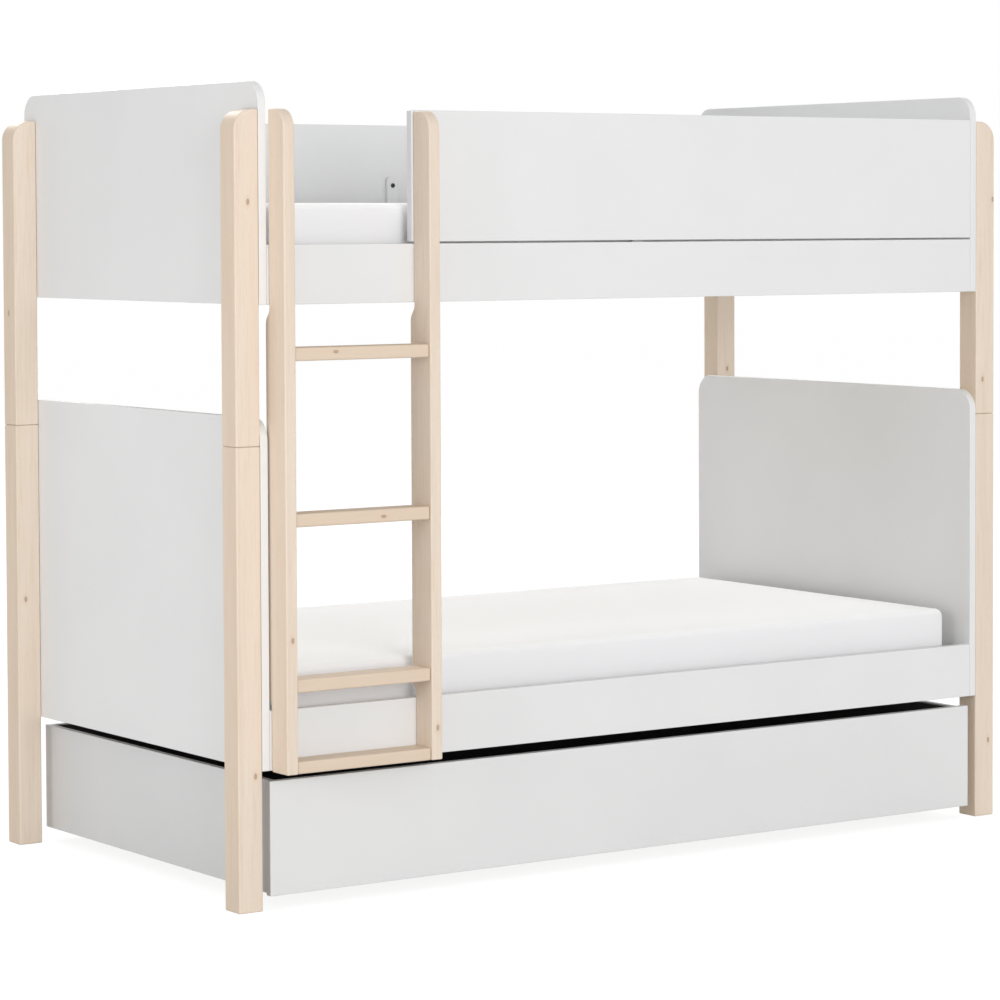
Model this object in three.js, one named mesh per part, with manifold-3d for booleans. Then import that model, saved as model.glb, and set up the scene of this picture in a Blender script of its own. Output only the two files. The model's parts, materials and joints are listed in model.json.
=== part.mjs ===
// Convertible bunk bed: two stacking bed frames, a fixed ladder, two mattresses and a drawer on castors.
// Millimetres. X runs along the bed, -Y is the ladder side, +Z is up and the floor is z = 0.
// The origin is on the floor, at the centre of the whole footprint, ladder included.
import * as THREE from 'three';
import { mergeVertices } from 'three/addons/utils/BufferGeometryUtils.js';
import Module from 'manifold-3d';

const wasm = await Module();
wasm.setup();

// Bed frames
const bedLength = 2080;
const bedDepth = 1060;
const postWidth = 57;
const postDepth = 59;
const postTopRadius = 44;
const postEase = 3;
const lowerPostHeight = 964;
const upperPostHeight = 694;
const panelThickness = 18;
const panelRise = 58;
const panelCornerRadius = 48;
const boardEase = 1.5;
const underBedHeight = 291;
const railHeight = 124;
const railThickness = 19;
const seat = 0.3;
const overrun = 5;

// Stacking pins between the posts
const pinRadius = 6;
const pinLength = 90;
const pinPoint = 2;
const pinClearance = 0.5;

// Slat bases
const ledgeHeight = 36;
const ledgeThickness = 25;
const ledgeLift = 7;
const ledgeEndGap = 35;
const slatCount = 14;
const slatWidth = 68;
const slatThickness = 18;
const slatEase = 2;
const slatSideGap = 2;
const slatEndGap = 42;
const tapeWidth = 25;
const tapeThickness = 1.5;
const tapeSink = 0.5;
const tapeInset = 190;

// Mattresses
const mattressEndGap = 30;
const mattressSideGap = 19;
const mattressHeight = 150;
const mattressEdgeRadius = 18;
const mattressCornerRadius = 20;
const mattressCrown = 5;
const mattressDrawIn = 5;

// Guards of the upper bed and the cleats that hold them to the rails
const guardHeight = 278;
const guardGap = 4;
const guardLap = 4;
const cleatWidth = 30;
const cleatThickness = 10;
const cleatCornerRadius = 9;
const cleatTopDrop = 126;
const cleatLift = 4;
const cleatBoltDrop = 21;

// Bolts with low round heads
const boltRadius = 3;
const boltHeadRadius = 5.5;
const boltHeadHeight = 2.5;
const boltHeadEase = 1;
const boltClearance = 0.5;
const boltBite = 12;
const ladderBoltBite = 34;
const boltTipGap = 1;
const railBoltLift = 29;
const guardBoltDrop = 60;

// Ladder
const ladderWidth = 381.5;
const ladderEndGap = 4.5;
const stileThickness = 26.5;
const stileDepth = 63;
const stileNotch = 15;
const notchGap = 4;
const notchCurve = 36;
const stileTopRadius = 42;
const stileEase = 3;
const ladderDrop = 3;
const rungCount = 3;
const rungPitch = 342;
const lowestRungRise = 196;
const rungThickness = 28;
const rungInset = 3;
const rungEase = 4;
const stretcherThickness = 26;

// Drawer
const drawerFloorGap = 28;
const drawerTopGap = 23;
const drawerEndGap = 2;
const drawerInset = 4;
const drawerRearGap = 13;
const drawerFrontThickness = 18;
const drawerFrontLap = 13;
const drawerSideThickness = 15;
const drawerSideDrop = 2;
const drawerBottomThickness = 9;
const grooveDepth = 6;
const grooveClearance = 0.3;
const linerThickness = 3;
const linerDrop = 3;
const linerCornerRadius = 8;

// Castors
const castorHeight = 60;
const castorInsetX = 170;
const castorInsetY = 190;
const wheelRadius = 20;
const wheelWidth = 18;
const wheelEdgeRadius = 4;
const wheelWebInset = 4;
const wheelRimThickness = 6;
const wheelHubRadius = 8;
const axleRadius = 3;
const axleClearance = 0.4;
const axleHeadRadius = 5;
const axleHeadLength = 1.5;
const forkGap = 1.2;
const forkThickness = 2;
const forkRadius = 9;
const forkTopWidth = 34;
const forkPlateLength = 62;
const forkPlateWidth = 42;
const forkPlateThickness = 2.5;
const forkPlateRadius = 6;
const screwHeadRadius = 3.5;
const screwHeadHeight = 1.8;
const screwHeadEase = 1;
const screwEdgeDistance = 6.5;

// Worked-out places, from the bed's centre line and the floor
const halfLength = bedLength / 2;
const halfDepth = bedDepth / 2;
const panelOuterX = halfLength - postWidth - seat;
const innerX = panelOuterX - panelThickness;
const railX = innerX - seat;
const railInnerY = halfDepth - railThickness;
const railTop = underBedHeight + railHeight;
const ledgeBottom = underBedHeight + ledgeLift;
const slatBottom = ledgeBottom + ledgeHeight + seat;
const slatTop = slatBottom + slatThickness;
const mattressBottom = slatTop + seat;
const mattressLength = 2 * (innerX - mattressEndGap);
const mattressWidth = 2 * (railInnerY - mattressSideGap);
const guardBottom = railTop + guardGap;
const guardTop = guardBottom + guardHeight;
const ladderOverhang = stileDepth + seat;
const pinSink = pinLength / 2;
const stileX = [
  -(innerX - ladderEndGap - stileThickness / 2),
  -(innerX - ladderEndGap - ladderWidth + stileThickness / 2),
];
const railBoltHeight = slatTop + railBoltLift;
const guardBoltHeight = guardTop - guardBoltDrop;
const cleatTop = guardTop - cleatTopDrop;
const cleatBottom = slatTop + cleatLift;

// Facet counts: in a quarter of an eased edge, of a small corner and of a large one, and round turned pieces
const easeFacets = 2;
const smallCornerFacets = 6;
const largeCornerFacets = 12;
const roundSides = 16;
const wheelSides = 24;
const screwSides = 8;

const finish = (color, roughness, metalness = 0) =>
  new THREE.MeshStandardMaterial({ color, roughness, metalness });

const finishes = {
  lacquer: () => finish(0xe9e9e9, 0.45),
  beech: () => finish(0xe8d9c8, 0.6),
  pine: () => finish(0xdec7a2, 0.7),
  cover: () => finish(0xf7f7f7, 0.95),
  felt: () => finish(0x1e1f21, 0.95),
  plywood: () => finish(0xd9c19a, 0.7),
  zinc: () => finish(0xb9bcc0, 0.35, 1),
  blackSteel: () => finish(0x2b2c2e, 0.4, 0.8),
  rubber: () => finish(0x3a3b3d, 0.8),
};

const piece = (name, geometry, material, x = 0, y = 0, z = 0) => {
  const mesh = new THREE.Mesh(geometry, material);
  mesh.name = name;
  mesh.position.set(x, y, z);
  return mesh;
};

const group = (children, x = 0, y = 0, z = 0) => {
  const result = new THREE.Group();
  result.add(...children);
  result.position.set(x, y, z);
  return result;
};

// Solids from closed geometry, for joins and cuts
const toSolid = (geometry) => {
  const bare = geometry.clone();
  bare.deleteAttribute('normal');
  bare.deleteAttribute('uv');
  const merged = mergeVertices(bare);
  return new wasm.Manifold(new wasm.Mesh({
    numProp: 3,
    vertProperties: new Float32Array(merged.attributes.position.array),
    triVerts: new Uint32Array(merged.index.array),
  }));
};

const toGeometry = (solid) => {
  const mesh = solid.getMesh();
  const geometry = new THREE.BufferGeometry();
  geometry.setAttribute('position', new THREE.BufferAttribute(mesh.vertProperties, 3));
  geometry.setIndex(new THREE.BufferAttribute(mesh.triVerts, 1));
  geometry.computeVertexNormals();
  return geometry;
};

const cut = (geometry, tools) =>
  toGeometry(tools.reduce((solid, tool) => solid.subtract(toSolid(tool)), toSolid(geometry)));

const join = (geometries) =>
  toGeometry(geometries.map(toSolid).reduce((solid, next) => solid.add(next)));

// Outlines. Each is drawn in its own plane, as (u, v).
const blockOutline = (width, height, radius) => {
  const u = width / 2 - radius;
  const v = height / 2 - radius;
  const shape = new THREE.Shape();
  shape.absarc(u, v, radius, 0, Math.PI / 2);
  shape.absarc(-u, v, radius, Math.PI / 2, Math.PI);
  shape.absarc(-u, -v, radius, Math.PI, 1.5 * Math.PI);
  shape.absarc(u, -v, radius, 1.5 * Math.PI, 2 * Math.PI);
  return shape;
};

// A plate whose two upper corners are rounded, standing on v = 0 and centred on u = 0
const archedOutline = (width, height, leftRadius, rightRadius) => {
  const shape = new THREE.Shape();
  shape.moveTo(-width / 2, 0);
  shape.lineTo(width / 2, 0);
  if (rightRadius > 0) {
    shape.absarc(width / 2 - rightRadius, height - rightRadius, rightRadius, 0, Math.PI / 2);
  } else {
    shape.lineTo(width / 2, height);
  }
  if (leftRadius > 0) {
    shape.absarc(-width / 2 + leftRadius, height - leftRadius, leftRadius, Math.PI / 2, Math.PI);
  } else {
    shape.lineTo(-width / 2, height);
  }
  shape.closePath();
  return shape;
};

// Boards: an outline extruded to a thickness, its two faces eased by a small bevel, centred on the thickness
const board = (shape, thickness, ease, cornerFacets = largeCornerFacets) => {
  const geometry = new THREE.ExtrudeGeometry(shape, {
    depth: thickness - 2 * ease,
    bevelEnabled: ease > 0,
    bevelThickness: ease,
    bevelSize: ease,
    bevelOffset: -ease,
    bevelSegments: easeFacets,
    curveSegments: cornerFacets / 2,
  });
  return geometry.translate(0, 0, ease - thickness / 2);
};

// The same boards turned so that they are extruded along X, with the outline in (Y, Z),
// or along -Y, with the outline in (X, Z)
const xAxis = new THREE.Vector3(1, 0, 0);
const yAxis = new THREE.Vector3(0, 1, 0);
const zAxis = new THREE.Vector3(0, 0, 1);
const turnAlongX = new THREE.Matrix4().makeBasis(yAxis, zAxis, xAxis);
const turnAlongY = new THREE.Matrix4().makeBasis(xAxis, zAxis, yAxis.clone().negate());
const alongX = (geometry) => geometry.applyMatrix4(turnAlongX);
const alongY = (geometry) => geometry.applyMatrix4(turnAlongY);

const bar = (width, height, length, ease) =>
  board(blockOutline(width, height, ease), length, 0, easeFacets);

const rod = (radius, length) => new THREE.CylinderGeometry(radius, radius, length, roundSides);

const turned = (points, sides = roundSides) =>
  new THREE.LatheGeometry(points.map(([radius, height]) => new THREE.Vector2(radius, height)), sides);

// Posts stand on z = 0. The outer top corner of an upper post is rounded, and both kinds hold a stacking pin.
const corners = [
  { name: 'front_left', side: -1, face: -1 },
  { name: 'front_right', side: 1, face: -1 },
  { name: 'rear_left', side: -1, face: 1 },
  { name: 'rear_right', side: 1, face: 1 },
];
const postX = halfLength - postWidth / 2;
const postY = halfDepth - postDepth / 2;

const post = ({ name, side, face }, prefix, height, topRadius, boreHeight) => {
  const outline = archedOutline(
    postWidth, height - seat, side < 0 ? topRadius : 0, side > 0 ? topRadius : 0);
  const bore = rod(pinRadius + pinClearance, 2 * (pinSink + pinClearance)).rotateX(Math.PI / 2);
  const body = cut(alongY(board(outline, postDepth, postEase)), [bore.translate(0, 0, boreHeight)]);
  return piece(`${prefix}_post_${name}`, body, finishes.beech(), side * postX, face * postY, 0);
};

const stackingPin = ({ name, side, face }) => {
  const half = pinLength / 2;
  const profile = [
    [0, -half], [pinRadius - pinPoint, -half], [pinRadius, pinPoint - half],
    [pinRadius, half - pinPoint], [pinRadius - pinPoint, half], [0, half],
  ];
  const body = turned(profile).rotateX(Math.PI / 2);
  return piece(`stacking_pin_${name}`, body, finishes.zinc(), side * postX, face * postY, lowerPostHeight);
};

// End panels stand between the posts, flush with them front and rear, with rounded upper corners
const endPanel = (prefix, label, side, postHeight) => {
  const height = postHeight + panelRise - underBedHeight;
  const outline = archedOutline(bedDepth, height, panelCornerRadius, panelCornerRadius);
  const body = alongX(board(outline, panelThickness, boardEase));
  const x = side * (innerX + panelThickness / 2);
  return piece(`${prefix}_end_panel_${label}`, body, finishes.lacquer(), x, 0, underBedHeight);
};

const sideRail = (prefix, label, face, bores) => {
  const y = face * (halfDepth - railThickness / 2);
  const z = underBedHeight + railHeight / 2;
  const whole = alongX(bar(railThickness, railHeight, 2 * railX, boardEase));
  const body = bores.length ? cut(whole, bores.map((bore) => bore.translate(0, -y, -z))) : whole;
  return piece(`${prefix}_side_rail_${label}`, body, finishes.lacquer(), 0, y, z);
};

const slatLedge = (prefix, label, face) => {
  const body = alongX(bar(ledgeThickness, ledgeHeight, 2 * (railX - ledgeEndGap), slatEase));
  const y = face * (railInnerY - seat - ledgeThickness / 2);
  return piece(`${prefix}_slat_ledge_${label}`, body, finishes.pine(), 0, y, ledgeBottom + ledgeHeight / 2);
};

// Slat roll: loose slats held at an even pitch by two tapes let into their undersides
const slatRoll = (prefix) => {
  const slatLength = 2 * (railInnerY - slatSideGap);
  const span = 2 * (railX - slatEndGap) - slatWidth;
  const pitch = span / (slatCount - 1);
  const slats = Array.from({ length: slatCount }, (_, index) =>
    alongY(bar(slatWidth, slatThickness, slatLength, slatEase)).translate(index * pitch - span / 2, 0, 0));
  const tapeZ = (tapeSink - slatThickness) / 2 - tapeThickness / 2;
  const tapes = [-1, 1].map((face) =>
    new THREE.BoxGeometry(span + slatWidth / 2, tapeWidth, tapeThickness + tapeSink)
      .translate(0, face * (railInnerY - tapeInset), tapeZ + tapeSink / 2));
  const body = join([...slats, ...tapes]);
  return piece(`${prefix}_slat_roll`, body, finishes.pine(), 0, 0, slatBottom + slatThickness / 2);
};

const bedFrame = (prefix, postHeight, topRadius, boreHeight, frontBores, rearBores) => [
  ...corners.map((corner) => post(corner, prefix, postHeight, topRadius, boreHeight)),
  endPanel(prefix, 'left', -1, postHeight),
  endPanel(prefix, 'right', 1, postHeight),
  sideRail(prefix, 'front', -1, frontBores),
  sideRail(prefix, 'rear', 1, rearBores),
  slatLedge(prefix, 'front', -1),
  slatLedge(prefix, 'rear', 1),
  slatRoll(prefix),
];

// Mattress: rings of one rounded plan outline. Its sides draw in between the corners and its top is crowned.
const mattressPlan = (inset) => {
  const radius = mattressCornerRadius;
  const points = [];
  const sideSteps = { long: 8, short: 5 };
  const cornerSteps = 4;
  const halfSize = [mattressLength / 2, mattressWidth / 2];
  const drawnIn = (share) => mattressDrawIn * Math.sin(Math.PI * share) ** 2;
  for (let quarter = 0; quarter < 4; quarter += 1) {
    const signX = quarter === 0 || quarter === 3 ? 1 : -1;
    const signY = quarter < 2 ? 1 : -1;
    const centreX = signX * (halfSize[0] - radius);
    const centreY = signY * (halfSize[1] - radius);
    for (let step = 0; step <= cornerSteps; step += 1) {
      const angle = (quarter + step / cornerSteps) * Math.PI / 2;
      points.push([
        centreX + (radius - inset) * Math.cos(angle),
        centreY + (radius - inset) * Math.sin(angle),
      ]);
    }
    const alongLong = quarter % 2 === 0;
    const steps = alongLong ? sideSteps.long : sideSteps.short;
    for (let step = 1; step < steps; step += 1) {
      const share = step / steps;
      if (alongLong) {
        const y = signY * (halfSize[1] - inset - drawnIn(share));
        points.push([centreX * (1 - 2 * share), y]);
      } else {
        const x = signX * (halfSize[0] - inset - drawnIn(share));
        points.push([x, centreY * (1 - 2 * share)]);
      }
    }
  }
  return points;
};

const mattressGeometry = () => {
  const edge = mattressEdgeRadius;
  const edgeSteps = 4;
  const side = mattressHeight - mattressCrown;
  const crownShares = [0.55, 0.2];
  const rings = [];
  for (let step = 0; step <= edgeSteps; step += 1) {
    const angle = (step / edgeSteps) * Math.PI / 2;
    rings.push({ inset: edge * (1 - Math.sin(angle)), z: edge * (1 - Math.cos(angle)), shrink: 1 });
  }
  for (let step = 0; step <= edgeSteps; step += 1) {
    const angle = (step / edgeSteps) * Math.PI / 2;
    const z = side - edge * (1 - Math.sin(angle));
    rings.push({ inset: edge * (1 - Math.cos(angle)), z, shrink: 1 });
  }
  crownShares.forEach((shrink) => {
    rings.push({ inset: edge, z: side + mattressCrown * (1 - shrink ** 2), shrink });
  });
  const positions = [];
  rings.forEach(({ inset, z, shrink }) => {
    mattressPlan(inset).forEach(([x, y]) => positions.push(x * shrink, y * shrink, z));
  });
  const count = mattressPlan(0).length;
  const triangles = [];
  for (let ring = 0; ring < rings.length - 1; ring += 1) {
    for (let point = 0; point < count; point += 1) {
      const next = (point + 1) % count;
      const low = ring * count;
      const high = low + count;
      triangles.push(low + point, low + next, high + next);
      triangles.push(low + point, high + next, high + point);
    }
  }
  const bottomCentre = positions.length / 3;
  positions.push(0, 0, 0);
  positions.push(0, 0, mattressHeight);
  const last = (rings.length - 1) * count;
  for (let point = 0; point < count; point += 1) {
    const next = (point + 1) % count;
    triangles.push(bottomCentre, next, point);
    triangles.push(bottomCentre + 1, last + point, last + next);
  }
  const geometry = new THREE.BufferGeometry();
  geometry.setAttribute('position', new THREE.Float32BufferAttribute(positions, 3));
  geometry.setIndex(triangles);
  geometry.computeVertexNormals();
  return geometry;
};

const mattress = (name) => piece(name, mattressGeometry(), finishes.cover(), 0, 0, mattressBottom);

// Bolts lie along Y. The head's underside is at y = 0 and the shank runs towards `reach`, which is +1 or -1.
const bolt = (name, shankLength, reach, x, y, z) => {
  const profile = [
    [0, -boltHeadHeight], [boltHeadRadius - boltHeadEase, -boltHeadHeight],
    [boltHeadRadius, boltHeadEase - boltHeadHeight], [boltHeadRadius, 0],
    [boltRadius, 0], [boltRadius, shankLength], [0, shankLength],
  ];
  const body = turned(profile);
  if (reach < 0) {
    body.rotateX(Math.PI);
  }
  return piece(name, body, finishes.blackSteel(), x, y, z);
};

const boreAlongY = (x, z, from, to) =>
  rod(boltRadius + boltClearance, Math.abs(to - from)).translate(x, (from + to) / 2, z);

// Guards: one over each upper side rail. The front one stops at the ladder, just past its right stile.
const guard = (label, face, left, right, bores) => {
  const y = face * (halfDepth - railThickness / 2);
  const x = (left + right) / 2;
  const z = guardBottom + guardHeight / 2;
  const whole = alongX(bar(railThickness, guardHeight, right - left, boardEase));
  const body = cut(whole, bores.map((bore) => bore.translate(-x, -y, -z)));
  return piece(`guard_${label}`, body, finishes.lacquer(), x, y, z);
};

const cleatBolts = [
  { name: 'guard', z: cleatTop - cleatBoltDrop },
  { name: 'rail', z: railBoltHeight },
];
const cleatFaceY = railInnerY - seat - cleatThickness;
const cleatBoltSeatY = cleatFaceY - seat;
const blindBore = (face, x, z) =>
  boreAlongY(x, z, face * (railInnerY - overrun), face * (railInnerY + boltBite + boltTipGap));

const guardCleat = (label, face) => {
  const outline = archedOutline(cleatWidth, cleatTop - cleatBottom, cleatCornerRadius, cleatCornerRadius);
  const y = face * (cleatFaceY + cleatThickness / 2);
  const bores = cleatBolts.map(({ z }) => boreAlongY(0, z - cleatBottom, -cleatThickness, cleatThickness));
  const body = cut(alongY(board(outline, cleatThickness, boardEase, smallCornerFacets)), bores);
  return piece(`guard_cleat_${label}`, body, finishes.lacquer(), 0, y, cleatBottom);
};

const cleatBoltLength = seat + cleatThickness + seat + boltBite;
const cleatBoltPieces = (label, face) => cleatBolts.map(({ name, z }) =>
  bolt(`cleat_bolt_${label}_${name}`, cleatBoltLength, face, 0, face * cleatBoltSeatY, z));

// The ladder is bolted through the front rail and the front guard, from the mattress side
const ladderBolts = [
  { name: 'rail_left', x: stileX[0], z: railBoltHeight },
  { name: 'rail_right', x: stileX[1], z: railBoltHeight },
  { name: 'guard', x: stileX[1], z: guardBoltHeight },
];
const ladderBoltSeatY = railInnerY - seat;
const ladderBoltLength = seat + railThickness + seat + ladderBoltBite;
const throughBore = ({ x, z }) => boreAlongY(x, z, -(railInnerY - overrun), -(halfDepth + overrun));

// Ladder stile: full depth between the two rails, notched where it lies against them, with a soft S between.
// Its outline is drawn in (Y, Z) from the ladder's own foot.
const ladderBottom = underBedHeight - ladderDrop;
const ladderTop = lowerPostHeight + upperPostHeight;
const upperRailBottom = lowerPostHeight + underBedHeight;
const ladderFront = -(halfDepth + ladderOverhang);
const ladderBack = -(halfDepth + seat);

const stileOutline = () => {
  const deep = ladderBack + stileNotch;
  const shape = new THREE.Shape();
  const lowerStart = railTop + notchGap;
  const lowerEnd = lowerStart + notchCurve;
  const upperEnd = upperRailBottom - notchGap;
  const upperStart = upperEnd - notchCurve;
  const soft = notchCurve / 2;
  shape.moveTo(ladderFront, ladderBottom);
  shape.lineTo(ladderBack, ladderBottom);
  shape.lineTo(ladderBack, lowerStart);
  shape.bezierCurveTo(ladderBack, lowerStart + soft, deep, lowerEnd - soft, deep, lowerEnd);
  shape.lineTo(deep, upperStart);
  shape.bezierCurveTo(deep, upperStart + soft, ladderBack, upperEnd - soft, ladderBack, upperEnd);
  shape.lineTo(ladderBack, ladderTop);
  const topY = ladderFront + stileTopRadius;
  shape.absarc(topY, ladderTop - stileTopRadius, stileTopRadius, Math.PI / 2, Math.PI);
  shape.closePath();
  return shape;
};

const stile = (label, x) => {
  const whole = alongX(board(stileOutline(), stileThickness, stileEase)).translate(x, 0, 0);
  const bores = ladderBolts.filter((item) => item.x === x).map((item) =>
    boreAlongY(x, item.z + lowerPostHeight, ladderBack + overrun, ladderBack - ladderBoltBite - boltTipGap));
  return piece(`ladder_stile_${label}`, cut(whole, bores), finishes.beech());
};

const rungLength = ladderWidth - 2 * stileThickness - 2 * seat;
const rungDepth = stileDepth - rungInset;
const rungX = (stileX[0] + stileX[1]) / 2;
const rungY = ladderFront + rungInset + rungDepth / 2;

const rung = (name, top, thickness) => {
  const body = alongX(bar(rungDepth, thickness, rungLength, rungEase));
  return piece(name, body, finishes.beech(), rungX, rungY, top - thickness / 2);
};

const ladder = () => {
  const rungs = Array.from({ length: rungCount }, (_, index) =>
    rung(`ladder_rung_${index + 1}`, ladderBottom + lowestRungRise + index * rungPitch, rungThickness));
  const stretcher = rung('ladder_stretcher', ladderBottom + stretcherThickness, stretcherThickness);
  return [stile('left', stileX[0]), stile('right', stileX[1]), ...rungs, stretcher];
};

// Drawer: an open box behind a wider front, lined with felt, on four castors
const drawerFrontHalf = innerX - drawerEndGap;
const drawerFrontY = -(halfDepth - drawerInset);
const drawerTop = underBedHeight - drawerTopGap;
const drawerSideX = drawerFrontHalf - drawerFrontLap;
const drawerInnerX = drawerSideX - drawerSideThickness;
const drawerInnerFrontY = drawerFrontY + drawerFrontThickness;
const drawerRearY = halfDepth - drawerRearGap;
const drawerInnerRearY = drawerRearY - drawerSideThickness;
const drawerSideTop = drawerTop - drawerSideDrop;
const drawerBottomZ = castorHeight + seat;
const drawerMiddleY = (drawerInnerFrontY + drawerInnerRearY) / 2;

const drawerBottomSize = (clearance) => [
  2 * (drawerInnerX + grooveDepth - grooveClearance + clearance),
  drawerInnerRearY - drawerInnerFrontY + 2 * (grooveDepth - grooveClearance + clearance),
  drawerBottomThickness + 2 * clearance,
];

const drawerGroove = () => new THREE.BoxGeometry(...drawerBottomSize(grooveClearance))
  .translate(0, drawerMiddleY, drawerBottomZ + drawerBottomThickness / 2);

const drawerFront = () => {
  const outline = archedOutline(2 * drawerFrontHalf, drawerTop - drawerFloorGap, 0, 0);
  const body = alongY(board(outline, drawerFrontThickness, boardEase))
    .translate(0, drawerFrontY + drawerFrontThickness / 2, drawerFloorGap);
  return piece('drawer_front', cut(body, [drawerGroove()]), finishes.lacquer());
};

const drawerSide = (label, side) => {
  const length = drawerRearY - drawerInnerFrontY - seat;
  const outline = archedOutline(length, drawerSideTop - drawerFloorGap, 0, 0);
  const body = alongX(board(outline, drawerSideThickness, boardEase)).translate(
    side * (drawerSideX - drawerSideThickness / 2), drawerRearY - length / 2, drawerFloorGap);
  return piece(`drawer_side_${label}`, cut(body, [drawerGroove()]), finishes.lacquer());
};

const drawerBack = () => {
  const outline = archedOutline(2 * (drawerInnerX - seat), drawerSideTop - drawerFloorGap, 0, 0);
  const body = alongY(board(outline, drawerSideThickness, boardEase))
    .translate(0, drawerRearY - drawerSideThickness / 2, drawerFloorGap);
  return piece('drawer_back', cut(body, [drawerGroove()]), finishes.lacquer());
};

const drawerBottom = () => {
  const [length, width, thickness] = drawerBottomSize(0);
  const body = new THREE.BoxGeometry(length, width, thickness);
  return piece('drawer_bottom', body, finishes.plywood(), 0, drawerMiddleY, drawerBottomZ + thickness / 2);
};

const drawerLiner = () => {
  const length = 2 * (drawerInnerX - seat);
  const width = drawerInnerRearY - drawerInnerFrontY - 2 * seat;
  const floorZ = drawerBottomZ + drawerBottomThickness + seat;
  const height = drawerSideTop - linerDrop - floorZ;
  const block = (inset) => {
    const outline = blockOutline(length - 2 * inset, width - 2 * inset, linerCornerRadius - inset);
    return board(outline, height, 0, smallCornerFacets);
  };
  const outer = block(0).translate(0, 0, height / 2);
  const inner = block(linerThickness).translate(0, 0, height / 2 + linerThickness);
  return piece('drawer_liner', cut(outer, [inner]), finishes.felt(), 0, drawerMiddleY, floorZ);
};

// Castor: a folded steel fork round a wheel with a rim, a thin web and a hub. Its own origin is on the floor.
const cheekOffset = wheelWidth / 2 + forkGap + forkThickness / 2;

const cheekOutline = () => {
  const shape = new THREE.Shape();
  shape.moveTo(forkTopWidth / 2, castorHeight - forkPlateThickness / 2);
  shape.lineTo(-forkTopWidth / 2, castorHeight - forkPlateThickness / 2);
  shape.lineTo(-forkRadius, wheelRadius);
  shape.absarc(0, wheelRadius, forkRadius, Math.PI, 2 * Math.PI);
  shape.closePath();
  return shape;
};

// Screw heads under the corners of the plate, made in one with it
const castorScrews = () => {
  const plateMiddle = castorHeight - forkPlateThickness / 2;
  const low = castorHeight - forkPlateThickness - screwHeadHeight;
  const profile = [
    [0, low], [screwHeadRadius - screwHeadEase, low], [screwHeadRadius, low + screwHeadEase],
    [screwHeadRadius, plateMiddle], [0, plateMiddle],
  ];
  const x = forkPlateWidth / 2 - screwEdgeDistance;
  const y = forkPlateLength / 2 - screwEdgeDistance;
  return corners.map(({ side, face }) =>
    turned(profile, screwSides).rotateX(Math.PI / 2).translate(side * x, face * y, 0));
};

const castorFork = (label) => {
  const plateOutline = blockOutline(forkPlateWidth, forkPlateLength, forkPlateRadius);
  const plate = board(plateOutline, forkPlateThickness, 0, smallCornerFacets)
    .translate(0, 0, castorHeight - forkPlateThickness / 2);
  const cheeks = [-1, 1].map((side) =>
    alongX(board(cheekOutline(), forkThickness, 0, smallCornerFacets)).translate(side * cheekOffset, 0, 0));
  const axle = rod(axleRadius, 2 * cheekOffset).rotateZ(Math.PI / 2).translate(0, 0, wheelRadius);
  const heads = [-1, 1].map((side) => rod(axleHeadRadius, axleHeadLength + forkThickness / 2)
    .rotateZ(Math.PI / 2)
    .translate(side * (cheekOffset + forkThickness / 4 + axleHeadLength / 2), 0, wheelRadius));
  const body = join([plate, ...cheeks, axle, ...heads, ...castorScrews()]);
  return piece(`castor_fork_${label}`, body, finishes.zinc());
};

const castorWheel = (label) => {
  const half = wheelWidth / 2;
  const bore = axleRadius + axleClearance;
  const rimRadius = wheelRadius - wheelRimThickness;
  const web = half - wheelWebInset;
  const edge = wheelEdgeRadius;
  const soft = edge * (1 - Math.SQRT1_2);
  const profile = [
    [bore, -half], [wheelHubRadius, -half], [wheelHubRadius, -web], [rimRadius, -web], [rimRadius, -half],
    [wheelRadius - edge, -half], [wheelRadius - soft, soft - half], [wheelRadius, edge - half],
    [wheelRadius, half - edge], [wheelRadius - soft, half - soft], [wheelRadius - edge, half],
    [rimRadius, half], [rimRadius, web], [wheelHubRadius, web], [wheelHubRadius, half], [bore, half],
    [bore, -half],
  ];
  const body = turned(profile, wheelSides).rotateZ(Math.PI / 2);
  return piece(`castor_wheel_${label}`, body, finishes.rubber(), 0, 0, wheelRadius);
};

const castors = () => corners.map(({ name, side, face }) => {
  const y = face < 0 ? drawerFrontY + castorInsetY : drawerRearY - castorInsetY;
  return group([castorFork(name), castorWheel(name)], side * (drawerSideX - castorInsetX), y, 0);
});

const drawer = () => group([
  drawerFront(), drawerSide('left', -1), drawerSide('right', 1), drawerBack(), drawerBottom(), drawerLiner(),
  ...castors(),
]);

const lowerBed = () => group([
  ...bedFrame('lower', lowerPostHeight, 0, lowerPostHeight, [], []),
  ...corners.map(stackingPin),
  mattress('lower_mattress'),
]);

const upperBed = () => {
  const guardStart = stileX[1] - stileThickness / 2 - guardLap;
  const railBolts = ladderBolts.filter(({ name }) => name !== 'guard');
  const guardBolts = ladderBolts.filter(({ name }) => name === 'guard');
  const [guardBolt, railBolt] = cleatBolts;
  return group([
    ...bedFrame('upper', upperPostHeight, postTopRadius, 0,
      [blindBore(-1, 0, railBolt.z), ...railBolts.map(throughBore)], [blindBore(1, 0, railBolt.z)]),
    guard('front', -1, guardStart, railX, [blindBore(-1, 0, guardBolt.z), ...guardBolts.map(throughBore)]),
    guard('rear', 1, -railX, railX, [blindBore(1, 0, guardBolt.z)]),
    guardCleat('front', -1),
    guardCleat('rear', 1),
    ...cleatBoltPieces('front', -1),
    ...cleatBoltPieces('rear', 1),
    ...ladderBolts.map(({ name, x, z }) =>
      bolt(`ladder_bolt_${name}`, ladderBoltLength, -1, x, -ladderBoltSeatY, z)),
    mattress('upper_mattress'),
  ], 0, 0, lowerPostHeight);
};

const bunkBed = group([lowerBed(), upperBed(), ...ladder(), drawer()], 0, ladderOverhang / 2, 0);

export default bunkBed;
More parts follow.
